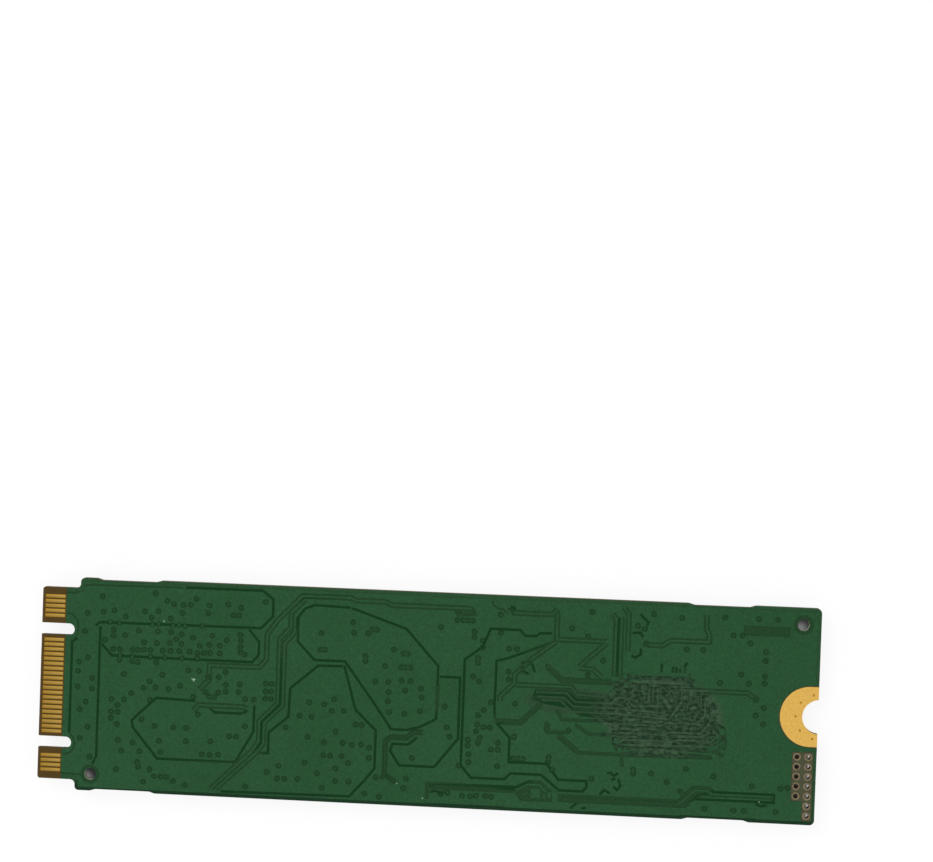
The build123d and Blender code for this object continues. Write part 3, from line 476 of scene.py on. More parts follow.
# %% Via places, in millimetres on the card
VIAS = {
    "connector_end": [
        (-36, -0.25), (-36, 1.35), (-35.9, 2.3), (-35.7, -2.6), (-35.6, -5.6), (-35.4, 5.5),
        (-35.2, 7.4), (-35.1, -1.8), (-35, 2.8), (-34.8, -4.4), (-34.5, -7.5), (-34.5, -0.4),
        (-34.5, 0.7), (-33.66, 9.15), (-33.5, 7.6), (-33.3, 4.7), (-32.4, -3.35), (-32.4, -2.7),
        (-32.4, -1.4), (-32.4, 3.8), (-32.4, 5.2), (-32.4, 5.8), (-32.4, 7.8), (-31.75, -4),
        (-31.75, -2), (-31.7, -8.65), (-31.7, -2.7), (-31.7, 2.7), (-31.7, 3.8), (-31.6, -5.6),
        (-31.2, -6.7), (-31.2, 1.25), (-31.2, 5.25), (-31.2, 7.2), (-31.1, -1.4), (-30.35, -0.7),
        (-30.35, 2.6), (-30.35, 3.8), (-30.05, -5.8), (-29.8, 5.8), (-29.5, -7.8), (-29.4, -8.3),
        (-29.3, -6.7), (-29.2, -3.35), (-29.2, 3.85), (-29.2, 4.6), (-29.2, 7.8), (-29.1, -0.1),
        (-28.8, -9.8), (-28.5, 0.6), (-28.5, 7.2), (-28.4, -1.3), (-28.2, -8.5), (-28.15, 9.7),
        (-27.85, -4), (-27.85, 0), (-27.85, 2.6), (-27.85, 4.6), (-27.8, 5.8), (-27.8, 7.9),
        (-27.7, -9.2), (-29.8, 3.8), (-29.8, 2.55), (-28.5, 3.85),
    ],
    "supply": [
        (-27.3, -5.5), (-27.25, 3.85), (-27.2, 1.35), (-27.1, -6.65), (-27, -9.2), (-26.9, 9),
        (-26.5, -0.1), (-26.5, 4.65), (-26.5, 7.2), (-26.4, -9.2), (-26.4, 3.85), (-26.4, 5.8),
        (-26.2, 8.7), (-25.85, -4.05), (-25.85, 5.1), (-25.7, -9.6), (-25.5, 3.85), (-25.3, 0.3),
        (-25.3, 4.6), (-25.3, 5.6), (-25.3, 7.8), (-24.5, -9.95), (-24.5, -5.4), (-24.5, -4.05),
        (-24.5, 1.9), (-24.4, 3.85), (-24.1, 5.3), (-23.9, -0.8), (-23.9, 9.3), (-23.4, 4.5),
        (-23.35, -2.6), (-23.35, 1.9), (-22.8, -6.7), (-22.6, -0.25), (-22.6, 7.9), (-22.5, 8.7),
        (-22.4, 1.35), (-22.4, 4.65), (-22.2, -0.7), (-22.1, 5.6), (-22, -6.7), (-21.95, -5.3),
        (-21.7, -0.7), (-21.3, -0.25), (-21.3, 1.35), (-21.3, 3.8), (-21.3, 4.6), (-21.1, -6.65),
        (-20.6, 1.9), (-20.6, 5.2), (-20.55, -0.1), (-20.55, 0.6), (-20.55, 8.9), (-20, -4.7),
        (-20, 7.8), (-19.4, 7.8), (-19.3, -4.7), (-19.2, -0.1), (-19.2, 5.8), (-19.2, 8.6), (-19.15, 4),
        (-19.15, 4.6), (-19.15, 5.2), (-19.1, 0.7), (-18.7, 3.8), (-18.5, -0.8), (-18.4, -3.6),
        (-18.2, -9.8), (-17.6, -0.8), (-16.7, 9.3), (-16.4, -0.65), (-16.4, 0.1), (-16.4, 0.9),
        (-16, -8.2), (-15.8, -0.65), (-15.8, 0.1), (-15.8, 0.9),
        (-25.2, 8.65), (-24.45, 8.7), (-23.6, 3.75), (-22.95, 3.8), (-22.3, 3.8),
    ],
    "middle": [
        (-14.9, -8.8), (-14.8, -7.5), (-14.2, -3.5), (-14.15, -8.8), (-12.8, -8.75), (-12.8, -2.25),
        (-12.1, -7.05), (-11.9, -4.4), (-11.85, -0.8), (-11.55, -2.3), (-10.85, 4.65), (-10.85, 6.35),
        (-10.8, -8.1), (-10.4, 4.65), (-10.3, -0.95), (-10.25, -9.55), (-10.2, -6.2), (-10.2, -4.85),
        (-9.5, -6.2), (-9.5, -1.6), (-9.3, -0.4), (-9, -3.7), (-8.9, -8.8), (-8.9, -7.5), (-8.3, -6.2),
        (-8.25, -4.85), (-8.25, -1.55), (-7.6, -6.9), (-7.6, 7.6), (-7.5, -8.8), (-7.45, 6.55),
        (-7.3, -5), (-6.95, -2.9), (-6.35, -4.9), (-6.35, -2.9), (-6.2, 3.7), (-6.2, 4.2), (-6, 6.55),
        (-5.8, -9.95), (-5.62, 6.95), (-5.5, -6.25), (-5.5, -5.2), (-5.12, 6.95), (-5.1, 1.65),
        (-4.7, -8.2), (-4.3, -10.2), (-4.15, 3.25), (-4, -8.1), (-3.75, -0.35), (-3.75, 1.65),
        (-3.7, 0.6), (-3.6, -1.45),
    ],
    "inner": [
        (-3.3, 5), (-2.5, 3.2), (-2.4, 1.85), (-2.3, 4.6), (-2.05, 3.2), (-2, -1.55), (-2, 0.85),
        (-1.85, -9.2), (-1.85, 4.6), (-1.6, -8.2), (-1.55, 3.2), (-1.5, 1.85), (-1.1, -6.05),
        (-0.4, -1.2), (-0.4, 1.1), (-0.3, 0.2), (1.45, 7.5), (2, -9.6), (2.1, -0.6), (2.4, -2.75),
        (2.7, -3.7), (3.1, 8.3), (3.1, 9.15), (3.7, 8.3), (3.7, 9.15), (4.2, -9.7), (4.2, 8.3),
        (4.2, 9.15), (4.6, -4.5), (4.6, -3.9), (4.7, -5.4), (4.7, 8.3), (4.7, 9.15), (4.75, -6.2),
        (4.9, 2.6), (4.9, 6.65), (4.9, 7.2), (5.05, -9.7), (5.35, 4), (5.35, 4.5), (5.4, -3),
        (5.5, -2.3), (5.55, -1.35), (5.55, 2.1), (5.65, -4.2), (5.8, -3.65), (5.8, 5.6), (5.8, 6.3),
        (6.1, -0.8), (6.15, -2.55), (6.55, -9.6), (7.2, -9.65), (6.8, -2.55), (6.8, 0), (7, -4.8),
        (7.7, -6.5), (7.7, -4.8), (7.7, -4.1), (2.7, -9.45), (3.75, -6.6), (5.65, -9.6), (7.5, 9.05),
        (7.6, 7.2),
    ],
    "notch_end": [
        (8.5, 3.25), (8.5, 5.6), (9.3, -5.6), (9.3, -3.4), (9.3, 0), (9.3, 5.6), (9.8, -5.6),
        (10.3, -5.6), (12.65, -2.5), (12.65, -2), (12.9, -5.78), (12.9, -5.3), (14.85, -2.5),
        (14.85, 7.95), (16.5, 7.2), (16.6, 3.25), (16.8, 9.7), (17.35, -7.3), (18.1, 4.8), (21.5, 8.5),
        (21.55, -6.6), (21.55, -6.15), (22.2, 8.2), (22.4, 6.7), (23.1, 9.75), (23.4, -6.5), (25, -7.3),
        (25.95, 9.5), (26.4, -8.2), (26.5, 6.3), (26.9, -5.85), (28.2, 6.35), (28.9, -9.8),
        (29.7, -6.5), (30, 3.05), (30.3, 9.7), (31.2, 7.95), (31.85, -9.85), (32.1, 4), (32.1, 7.95),
        (32.9, -9.85), (32.9, 3.1), (32.9, 7.2), (33.6, -7.3), (33.7, -0.1), (33.7, 1.5), (33.7, 9.7),
        (34.5, -0.95), (34.5, 0.7), (34.5, 3.2), (34.5, 3.9), (34.5, 5.5), (34.5, 6.4), (35.6, 9.7),
        (36.1, -9.8), (36.5, -7.4), (37.2, -7.3), (8.55, 2.45), (8.75, 9.7), (26.75, -8.55),
    ],
    "on_gaps": [
        (-32.8, 6.55), (-31.85, 6.5), (-28.4, 6.5), (-27.75, 6.55), (-26.25, 6.5), (-25.6, 6.55),
        (-25.0, 6.5), (-23.2, 6.55), (-31.65, 3.1), (-30.4, 3.1), (-28.5, 3.15), (-27.0, 3.12),
        (-25.2, 3.1), (-23.6, 3.15), (13.3, -6.6),
    ],
}
via_places = [place for group in VIAS.values() for place in group]
print(len(via_places), "vias")

# %% [markdown]
# ## Ring cutters
# The etched ring round a via is a moat with steep sides. Its cutter is a small trapezium spun round the
# via, and one boolean takes all rings out of a copy of the mask. Rings that would overlap go into a second
# cutter, because a cutter must not cross itself.

# %% Ring cutters
VIA_OUTER_MM = 0.32
VIA_INNER_MM = 0.08
VIA_DEPTH_MM = 0.03
VIA_SLOPE_MM = 0.012
VIA_STEPS = 12
CLEAR_MM = 0.02


def ring_cutter(bm, x, y, surface, up):
    """A ring with steep sides that reaches from outside the mask's face to the floor of the moat."""
    flare = VIA_SLOPE_MM * (1 + CLEAR_MM / VIA_DEPTH_MM)
    outside = surface + up * CLEAR_MM * MM
    floor = surface - up * VIA_DEPTH_MM * MM
    section = [
        (VIA_INNER_MM + VIA_SLOPE_MM - flare, outside), (VIA_OUTER_MM - VIA_SLOPE_MM + flare, outside),
        (VIA_OUTER_MM - VIA_SLOPE_MM, floor), (VIA_INNER_MM + VIA_SLOPE_MM, floor),
    ]
    turned(bm, section, x, y, VIA_STEPS)


def apart(places, least):
    """The places in as few groups as keep any two in a group at least this far apart."""
    groups = []
    for place in places:
        open_groups = [g for g in groups if all(math.dist(place, other) > least for other in g)]
        if open_groups:
            open_groups[0].append(place)
        else:
            groups.append([place])
    return groups


def tool(bm, name):
    """A bmesh as an object for a boolean."""
    mesh = bpy.data.meshes.new(name)
    bm.to_mesh(mesh)
    bm.free()
    made = bpy.data.objects.new(name, mesh)
    bpy.context.scene.collection.objects.link(made)
    return made


def ring_cutters(name, places, surface, up):
    """Ring cutters for vias on one face, in groups whose rings do not overlap."""
    made = []
    for group in apart(places, 2 * VIA_OUTER_MM + CLEAR_MM):
        bm = bmesh.new()
        for x, y in group:
            ring_cutter(bm, x, y, surface, up)
        bmesh.ops.recalc_face_normals(bm, faces=bm.faces)
        made.append(tool(bm, f"{name}_{len(made)}"))
    return made


cutters = ring_cutters("ring_cutter", via_places, back_z, 1)
print("ring cutters:", [len(c.data.polygons) for c in cutters])

# %% [markdown]
# ## Fine gaps in the copper
# The CAD draws the main gaps. The finest ones are left to this step: the line where the copper stops short
# of the card's outline, the short combs and loops round the routing field, the links between islands, the
# lower bands, and the arms that lead into the field. A gap is a wall drawn along its line, given its width
# by Solidify, and taken out of the mask like the rings.

# %% Fine gaps
FINE_GAP_MM = 0.17
BROAD_GAP_MM = 0.25
BAND_GAP_MM = 0.34
ARM_GAP_MM = 0.62
GAP_WIDTHS = {
    "combs": BROAD_GAP_MM, "loops": BROAD_GAP_MM, "lower_bands": BROAD_GAP_MM, "whole_bands": BAND_GAP_MM,
    "arms": ARM_GAP_MM,
}
FINE_GAP_DEPTH_MM = 0.032
FINE_GAPS = {
    "outline": [
        [(-37.4, 9.42), (-36.5, 9.42), (-36.05, 9.65), (-35.6, 10.2), (-35.1, 10.32), (-25.3, 10.42)],
        [(-37.3, 7.35), (-36.75, 7.2), (-36.25, 6.65), (-36.1, 6.0), (-36.15, 5.3), (-36.25, 4.95)],
        [(-36.7, -5.15), (-36.3, -5.5), (-36.12, -6.1), (-36.25, -6.75), (-36.65, -7.15), (-37.3, -7.35)],
        [(-37.4, -9.3), (-36.4, -9.32), (-35.45, -9.38)],
    ],
    "combs": [
        [(24.06, 3.4), (24.06, 4.75)], [(25.2, 3.5), (25.2, 4.5)], [(25.55, 3.5), (25.55, 4.45)],
        [(25.95, 3.5), (25.95, 4.3)], [(26.4, 3.6), (26.4, 4.6), (26.65, 4.95)],
        [(26.75, 3.2), (27.5, 3.2)],
    ],
    "loops": [
        [(21.7, 9.7), (22.2, 9.2), (22.55, 8.9), (22.3, 8.3)], [(21.0, 7.75), (21.8, 7.8), (22.05, 7.35)],
        [(21.85, 6.2), (21.9, 5.6), (21.3, 5.25), (20.95, 5.45)], [(9.9, 4.4), (9.9, 3.4), (10.6, 3.1)],
        [(10.4, 4.5), (10.9, 4.1), (11.2, 3.3)], [(12.3, 4.2), (12.9, 3.7)],
    ],
    "lower_bands": [
        [(0.9, -9.45), (1.4, -9.3), (2.0, -9.5), (2.6, -9.3)], [(15.3, -10.45), (16.1, -9.7)],
        [(16.4, -10.4), (16.9, -10.3)], [(18.2, -8.9), (18.7, -8.4), (19.3, -8.7)],
        [(18.9, -6.65), (19.3, -6.6), (19.6, -6.9), (20.05, -6.6)], [(19.35, -7.3), (19.8, -7.2)],
        [(19.6, -8.0), (20.0, -8.35), (20.3, -7.9), (20.1, -7.2)],
        [(34.0, -9.1), (34.6, -9.3), (35.2, -9.15)],
    ],
    "links": [
        [(4.1, 9.72), (4.55, 9.68), (4.9, 9.3), (4.95, 8.85), (3.0, 8.75)],
        [(6.65, 10.4), (6.7, 10.05), (7.15, 9.7), (7.75, 9.6), (8.3, 9.15)],
    ],
    "whole_bands": [
        [
            (-0.2, -3.4), (-1.0, -3.4), (-1.7, -4.0), (-3.3, -4.0), (-3.85, -4.4), (-3.85, -7.9),
            (-2.75, -8.56),
        ],
        [(0.7, -8.78), (9.6, -8.78)], [(14.2, -9.4), (26.2, -9.4)], [(20.35, -4.95), (20.42, -5.95)],
    ],
    "arms": [
        [(7.4, -1.88), (9.9, -1.88), (11.8, -0.05)], [(12.45, 3.98), (13.97, 2.64), (19.0, 2.62)],
        [(13.9, -3.1), (15.75, -4.58)], [(12.65, -1.85), (12.65, -2.6)],
    ],
    "edge_strips": [
        [(0.6, -10.66), (8.6, -10.66)], [(26.4, -10.66), (34.2, -10.66)], [(0.5, 10.66), (8.5, 10.66)],
    ],
}


def ribbons(lines, width_mm, low, high):
    """Walls of an even width along drawn lines, from one height to another."""
    bm = bmesh.new()
    for line in lines:
        verts = [bm.verts.new((x * MM, y * MM, low)) for x, y in line]
        edges = [bm.edges.new(ends) for ends in zip(verts, verts[1:])]
        raised = bmesh.ops.extrude_edge_only(bm, edges=edges)["geom"]
        tops = [part for part in raised if isinstance(part, bmesh.types.BMVert)]
        bmesh.ops.translate(bm, verts=tops, vec=(0, 0, high - low))
    mesh = bpy.data.meshes.new("walls")
    bm.to_mesh(mesh)
    bm.clear()
    walls = bpy.data.objects.new("walls", mesh)
    bpy.context.scene.collection.objects.link(walls)
    wide = walls.modifiers.new("width", "SOLIDIFY")
    wide.thickness = width_mm * MM
    wide.offset = 0
    wide.use_even_offset = True
    thick = bpy.data.meshes.new_from_object(walls.evaluated_get(bpy.context.evaluated_depsgraph_get()))
    bm.from_mesh(thick)
    bpy.data.objects.remove(walls)
    bmesh.ops.recalc_face_normals(bm, faces=bm.faces)
    return bm


gap_floor = back_z - FINE_GAP_DEPTH_MM * MM
for name, lines in FINE_GAPS.items():
    width = GAP_WIDTHS.get(name, FINE_GAP_MM)
    cutters.append(tool(ribbons(lines, width, gap_floor, back_z + CLEAR_MM * MM), "gap_cutter_" + name))
print("fine gaps:", sum(len(lines) for lines in FINE_GAPS.values()))

# %% [markdown]
# ## Chips in the mask
# A few small chips in the mask show the pale filler under it. Their broken outlines are cut into the mask
# as a shallow bed, and a thin scale of the same outline lies in each bed.

# %% Chips in the mask
CHIP_OUTLINES_MM = [
    [
        (-24.22, 1.22), (-24.05, 1.06), (-23.82, 1.14), (-23.7, 0.98), (-23.86, 0.9), (-23.8, 0.74),
        (-24.0, 0.88),
    ],
    [(-27.29, 6.91), (-27.2, 6.96), (-27.09, 6.91), (-27.12, 6.81), (-27.24, 6.82)],
    [(-2.62, -8.73), (-2.52, -8.69), (-2.45, -8.75), (-2.54, -8.83)],
    [(0.1, -10.05), (0.2, -10.04), (0.22, -10.2), (0.12, -10.22)],
    [(34.32, -8.82), (34.44, -8.8), (34.47, -8.9), (34.36, -8.93)],
]
CHIP_DEPTH_MM = 0.014
CHIP_ROOT = 0.3
CHIP_SINK = 0.2


def scale(low, high):
    """Thin plates with the chips' broken outlines."""
    bm = bmesh.new()
    sheets = []
    for line in CHIP_OUTLINES_MM:
        sheets.append(bm.faces.new([bm.verts.new((x * MM, y * MM, low)) for x, y in line]))
    grown = bmesh.ops.extrude_face_region(bm, geom=sheets)["geom"]
    tops = [part for part in grown if isinstance(part, bmesh.types.BMVert)]
    bmesh.ops.translate(bm, verts=tops, vec=(0, 0, high - low))
    bmesh.ops.recalc_face_normals(bm, faces=bm.faces)
    return bm


chip_depth = CHIP_DEPTH_MM * MM
bed_z = back_z - chip_depth
cutters.append(tool(scale(bed_z, back_z + CLEAR_MM * MM), "chip_cutter"))
chip_white = grained(
    "chipped_mask_filler", "708C70", "8CA88B", roughness=0.6, grain_mm=0.15, bump_mm=0.01,
)
chips = scale(bed_z - CHIP_ROOT * chip_depth, back_z - CHIP_SINK * chip_depth)
piece(chips, "mask_chip", chip_white, "solder_mask")

# %% [markdown]
# ## The dressed mask
# All the cutters are taken out of a copy of the CAD's mask by booleans. The mask is darkest in the gaps
# between islands, partly pooled and partly painted shade, and how wide a gap is can be measured on the
# mesh: from the foot of each wall, a ray runs straight across to the wall on the other side. The width is
# kept on the points at the foot, and the finish reads it from there.

# %% The dressed mask
FAR_MM = 3.0
STEEP = 0.7
FOOT_DEPTH = 0.9
RAY_LIFT_MM = 0.006
START_MM = 0.001


def measure_gaps(mesh, surface, up):
    """Keeps the width of the gap at each foot point of a mask's walls."""
    bm = bmesh.new()
    bm.from_mesh(mesh)
    walls = BVHTree.FromBMesh(bm)
    least = FOOT_DEPTH * VIA_DEPTH_MM * MM
    gap_width = bm.verts.layers.float.new("gap_width_mm")
    for vert in bm.verts:
        vert[gap_width] = FAR_MM
    for face in bm.faces:
        if abs(face.normal.z) > STEEP:
            continue
        across = Vector((face.normal.x, face.normal.y, 0)).normalized()
        for edge in face.edges:
            if min((surface - vert.co.z) * up for vert in edge.verts) < least:
                continue
            foot = (edge.verts[0].co + edge.verts[1].co) / 2
            start = foot + across * START_MM * MM + Vector((0, 0, up * RAY_LIFT_MM * MM))
            hit, _, _, distance = walls.ray_cast(start, across, FAR_MM * MM)
            if hit:
                for vert in edge.verts:
                    vert[gap_width] = min(vert[gap_width], distance / MM)
    found = sum(1 for vert in bm.verts if vert[gap_width] < FAR_MM)
    bm.to_mesh(mesh)
    bm.free()
    return found


def carved(node, name, material, blades, surface, up):
    """A mask piece: a copy of the CAD's mask with the blades taken out of it, standing for that node."""
    mask = piece(merged(node), name, material, "solder_mask", node)
    for blade in blades:
        cut = mask.modifiers.new(blade.name, "BOOLEAN")
        cut.operation = "DIFFERENCE"
        cut.solver = "MANIFOLD"
        cut.object = blade
    shaped = bpy.data.meshes.new_from_object(mask.evaluated_get(bpy.context.evaluated_depsgraph_get()))
    mask.modifiers.clear()
    mask.data = shaped
    for blade in blades:
        bpy.data.objects.remove(blade)
    print(name, len(shaped.polygons), "faces,", measure_gaps(shaped, surface, up), "points in gaps")


carved("solder_mask_back", "back_mask", mask_finish, cutters, back_z, 1)

# %% [markdown]
# ## Fine traces in the routing field
# Under the controller the copper breaks up into a field of fine traces that fan out from its balls. The CAD
# sinks that field and crosses it with its longest ribs. The shorter links, the wider patches and the ringed
# vias between them stand on the field's floor as ribbons of their own.

# %% Fine traces
FIELD_FLOOR_MM = 0.036
TRACE_TOP_MM = 0.004
TRACE_STEP_MM = 0.001
# each width in mm, with the lines that have it
FIELD_TRACES = {
    0.55: [
        [(19.3, -1.95), (19.95, -1.95)], [(19.45, -3.3), (19.95, -3.35)], [(19.9, -4.25), (20.3, -4.3)],
        [(18.85, 1.2), (19.45, 1.75)], [(20.3, 2.42), (20.75, 2.42)], [(20.2, 3.25), (20.6, 3.35)],
        [(28.75, 1.5), (29.3, 1.0)], [(30.25, -1.65), (30.6, -2.2)], [(30.4, -4.05), (30.6, -3.7)],
        [(11.25, -8.9), (12.2, -8.9)],
    ],
    0.38: [
        [(20.9, 3.6), (26.8, 3.72)], [(20.9, 2.86), (26.5, 2.86)], [(29.45, -4.5), (30.2, -4.5)],
        [(29.5, 0.3), (29.55, -0.4)],
        [(27.1, 0.15), (27.65, 0.5)], [(28.75, -0.3), (28.88, -0.6)], [(26.1, 1.15), (26.6, 1.5)],
        [(21.5, 0.95), (21.8, 0.7)], [(24.2, 1.45), (24.7, 0.8), (25.1, 0.15)], [(20.1, 1.85), (20.5, 1.7)],
        [(24.6, -3.35), (25.4, -3.3)], [(27.9, -0.95), (28.0, -1.4)], [(27.1, -1.75), (27.4, -1.9)],
        [(22.1, -4.25), (23.0, -4.2)], [(23.6, -4.3), (24.6, -4.27)], [(25.3, -4.25), (26.0, -4.28)],
        [(20.55, -4.0), (20.75, -4.2)], [(11.2, -9.38), (12.2, -9.38)], [(13.12, -8.9), (13.12, -9.5)],
    ],
    0.24: [
        [(22.35, -0.45), (22.95, -0.45)], [(23.3, -0.5), (23.85, -0.5)], [(24.1, -0.55), (24.6, -0.6)],
        [(22.88, 2.05), (22.88, 0.8)], [(27.1, 2.0), (27.15, 1.2), (26.9, 0.85)],
        [(25.72, -0.3), (25.72, -1.0)], [(29.4, -1.9), (29.85, -2.1), (30.1, -2.7), (29.9, -3.15)],
        [(12.62, -9.05), (12.6, -9.6)], [(20.1, -2.07), (22.3, -2.07)],
        [(20.05, -3.5), (20.6, -3.0), (20.95, -2.82), (21.9, -2.82)], [(20.5, -0.1), (21.2, -0.6)],
        [(22.2, -1.2), (23.6, -1.25), (24.4, -1.15)], [(20.2, -1.1), (21.6, -1.1)],
        [(26.0, 2.52), (26.9, 2.48)], [(26.0, -2.58), (28.4, -2.55), (29.2, -2.0)],
        [(22.3, -3.42), (23.4, -3.45)],
    ],
    0.15: [
        [(21.3, 2.1), (21.2, 1.5), (21.45, 1.25)], [(22.1, 2.0), (22.45, 1.5), (22.4, 0.8)],
        [(23.3, 2.3), (23.3, 0.9)], [(23.75, 2.2), (23.75, 0.95)], [(24.3, 2.4), (24.65, 1.9)],
        [(25.1, 2.0), (25.7, 1.3), (25.6, 0.7)], [(25.45, 2.25), (25.9, 1.75)], [(27.6, 1.9), (27.65, 1.1)],
        [(28.1, 1.7), (28.2, 0.9), (27.95, 0.6)], [(26.3, 0.2), (26.6, -0.8)], [(27.0, -0.2), (27.2, -0.9)],
        [(27.9, -0.1), (27.5, -0.8)], [(23.1, 2.45), (24.0, 2.45)],
        [(25.0, 2.45), (25.8, 2.45)], [(29.1, 0.6), (29.2, 0.0), (29.5, -0.8)],
        [(29.4, -3.4), (30.0, -3.6), (30.45, -4.1)], [(20.6, 0.6), (21.0, 0.05)],
        [(10.4, -9.3), (10.9, -9.0)],
    ],
}

floor_z = back_z - FIELD_FLOOR_MM * MM
top_z = back_z - TRACE_TOP_MM * MM
for step, (width, lines) in enumerate(FIELD_TRACES.items()):
    name = f"field_traces_{round(width * 1000)}um"
    lower = top_z - (step + 1) * TRACE_STEP_MM * MM
    piece(ribbons(lines, width, floor_z, lower), name, mask_finish, "solder_mask")

# %% [markdown]
# ## Ringed vias in the field
# Between the field's traces some vias keep a ring of copper of their own, with a dimple where the mask
# sinks into the hole. A ring's section is drawn once and spun round each place.

# %% Ringed vias in the field
RINGED_MM = [
    (21.55, 2.3), (22.4, 2.3), (22.05, -2.5), (23.45, -1.85), (25.3, 1.1), (26.65, 0.3),
    (28.75, 0.7), (27.55, -1.0), (26.65, -1.65), (29.5, -2.6), (30.5, -3.3), (19.75, -0.35), (23.3, -2.85),
    (26.6, -3.85), (24.6, -2.85), (29.3, -4.0), (25.55, -1.55), (24.9, 1.5),
]
RING_FOOT_MM = (0.08, 0.27)
RING_TOP_MM = (0.12, 0.23)

ring_section = [
    (RING_FOOT_MM[1], floor_z), (RING_TOP_MM[1], top_z),
    (RING_TOP_MM[0], top_z), (RING_FOOT_MM[0], floor_z),
]
bm = bmesh.new()
for x, y in RINGED_MM:
    turned(bm, ring_section, x, y, VIA_STEPS)
bmesh.ops.recalc_face_normals(bm, faces=bm.faces)
piece(bm, "field_via_rings", mask_finish, "solder_mask")

# %% [markdown]
# ## Vias on the gap lines
# Some vias stand right on the gap between two islands. Their moat runs into the gap, and only the via's own
# pad is left, a small round cap under the mask. Its section is spun like the rings.

# %% Vias on the gap lines
CAP_MM = 0.16
CAP_SLOPE_MM = 0.03

cap_section = [(0, floor_z), (CAP_MM, floor_z), (CAP_MM - CAP_SLOPE_MM, top_z), (0, top_z)]
bm = bmesh.new()
for x, y in VIAS["on_gaps"]:
    turned(bm, cap_section, x, y, VIA_STEPS, closed=False)
bmesh.ops.remove_doubles(bm, verts=bm.verts, dist=MERGE)
bmesh.ops.recalc_face_normals(bm, faces=bm.faces)
piece(bm, "gap_via_caps", mask_finish, "solder_mask")

# %% [markdown]
# ## The card itself
# The laminate is milled from a panel: tongue, keys, notch and holes. The CAD's solid has all of that, so it
# keeps its shape and only gets its finish.

# %% The card itself
dress("board_core", laminate_finish)
print("dressed: board_core")

# %% [markdown]
# ## Hard gold
# The contacts are plated with gold that is hardened with a little cobalt, so that it stands many
# insertions. The socket's springs leave streaks along the slide. The gold is darker towards the tips, and
# the rounded sides are darkened to brown as painted shade.

# %% Hard gold
CROWN_DROP_MM = 0.018
SLIDE_MM = (1.6, 0.12, 0.5)
WEAR = (0.8, 1.2)


def contact_gold():
    """Hard gold, streaked along the slide: darker at the tip, brighter inside, and painted shade in brown
    on the rounded sides.
    """
    material, tree, shader, place = finish("hard_gold_contact", metallic=1.0, roughness=0.4)
    split = add(tree, "SeparateXYZ", {"Vector": place})
    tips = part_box("edge_contacts_back")
    inward = add(tree, "MapRange", {
        "Value": split.outputs["X"], "From Min": tips[0].x, "From Max": tips[1].x,
    })
    gold = add(tree, "MixRGB", {"Fac": inward, "Color1": colour("A07E38"), "Color2": colour("B49550")})
    middle = (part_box("edge_contacts_front")[0].z + tips[1].z) / 2
    height = tips[1].z - middle
    outward = add(tree, "Math", {0: split.outputs["Z"], 1: middle}, operation="SUBTRACT")
    outward = add(tree, "Math", {0: outward}, operation="ABSOLUTE")
    crown = add(tree, "MapRange", {
        "Value": outward, "From Min": height - CROWN_DROP_MM * MM, "From Max": height,
    })
    # painted shade: the crown's sloping sides are darkened to a brown gold
    side_shaded_gold = add(tree, "MixRGB", {"Fac": crown, "Color1": colour("967018"), "Color2": gold})
    stretch = add(tree, "Mapping", {"Vector": place, "Scale": [per(size) for size in SLIDE_MM]})
    streak = add(tree, "TexNoise", {"Vector": stretch, "Scale": 1.0, "Detail": 5.0})
    worn = add(tree, "MapRange", {"Value": streak, "To Min": WEAR[0], "To Max": WEAR[1]})
    tone = add(tree, "HueSaturation", {"Color": side_shaded_gold, "Value": worn})
    link(tree, shader, {"Base Color": tone})
    return material


finger_gold = contact_gold()
print("finish:", finger_gold.name)

# %% [markdown]
# ## Edge contacts
# A contact is a flat copper strip, plated with hard gold. Plating grows a little thicker in the middle and
# etching rounds its sides, so a real strip is crowned and its long sides catch the light. Each strip's top
# is inset and the rim is let down, which needs only one operator on the CAD's own strips.

# %% Edge contacts
CROWN_WIDTH_MM = 0.1
FACING = 0.9


def crowned(node, up):
    """The contact strips of one side with a rim that falls away; up is 1 on the back, -1 in front."""
    bm = merged(node)
    bmesh.ops.dissolve_limit(bm, angle_limit=FLAT, verts=bm.verts, edges=bm.edges)
    tops = [face for face in bm.faces if face.normal.z * up > FACING]
    bmesh.ops.inset_individual(bm, faces=tops, thickness=CROWN_WIDTH_MM * MM, use_even_offset=True)
    crown = {vert for face in tops for vert in face.verts}
    level = tops[0].verts[0].co.z
    rim = [vert for vert in bm.verts if vert not in crown and abs(vert.co.z - level) < MERGE]
    bmesh.ops.translate(bm, verts=rim, vec=(0, 0, -up * CROWN_DROP_MM * MM))
    piece(bm, "crowned_" + node, finger_gold, "gold", node)


crowned("edge_contacts_back", 1)
crowned("edge_contacts_front", -1)

# %% [markdown]
# ## Plated header holes
# A debug header was never fitted, so its holes are open: a thin copper tube through the card with a ring on
# each face, dull from tin. The wall's section is drawn once and spun round each hole's own middle, which
# the CAD rings give.

# %% Plated header holes
HOLE_MM = 0.23
WALL_MM = 0.035
RING_MM = 0.42
LIP_MM = 0.012
HOLE_STEPS = 24


def islands(bm):
    """The loose solids in a mesh, each as its vertices, in the mesh's own order."""
    seen = set()
    found = []
    for first in bm.verts:
        if first in seen:
            continue
        seen.add(first)
        island = [first]
        for vert in island:
            for edge in vert.link_edges:
                other = edge.other_vert(vert)
                if other not in seen:
                    seen.add(other)
                    island.append(other)
        found.append(island)
    return found


def solids(node):
    """The lowest and highest corner of each loose solid of a CAD node."""
    bm = merged(node)
    found = [
        [Vector(pick(vert.co[i] for vert in island) for i in range(3)) for pick in (min, max)]
        for island in islands(bm)
    ]
    bm.free()
    return found


def middles(node):
    """The middle of each loose solid of a CAD node."""
    return [(low + high) / 2 for low, high in solids(node)]


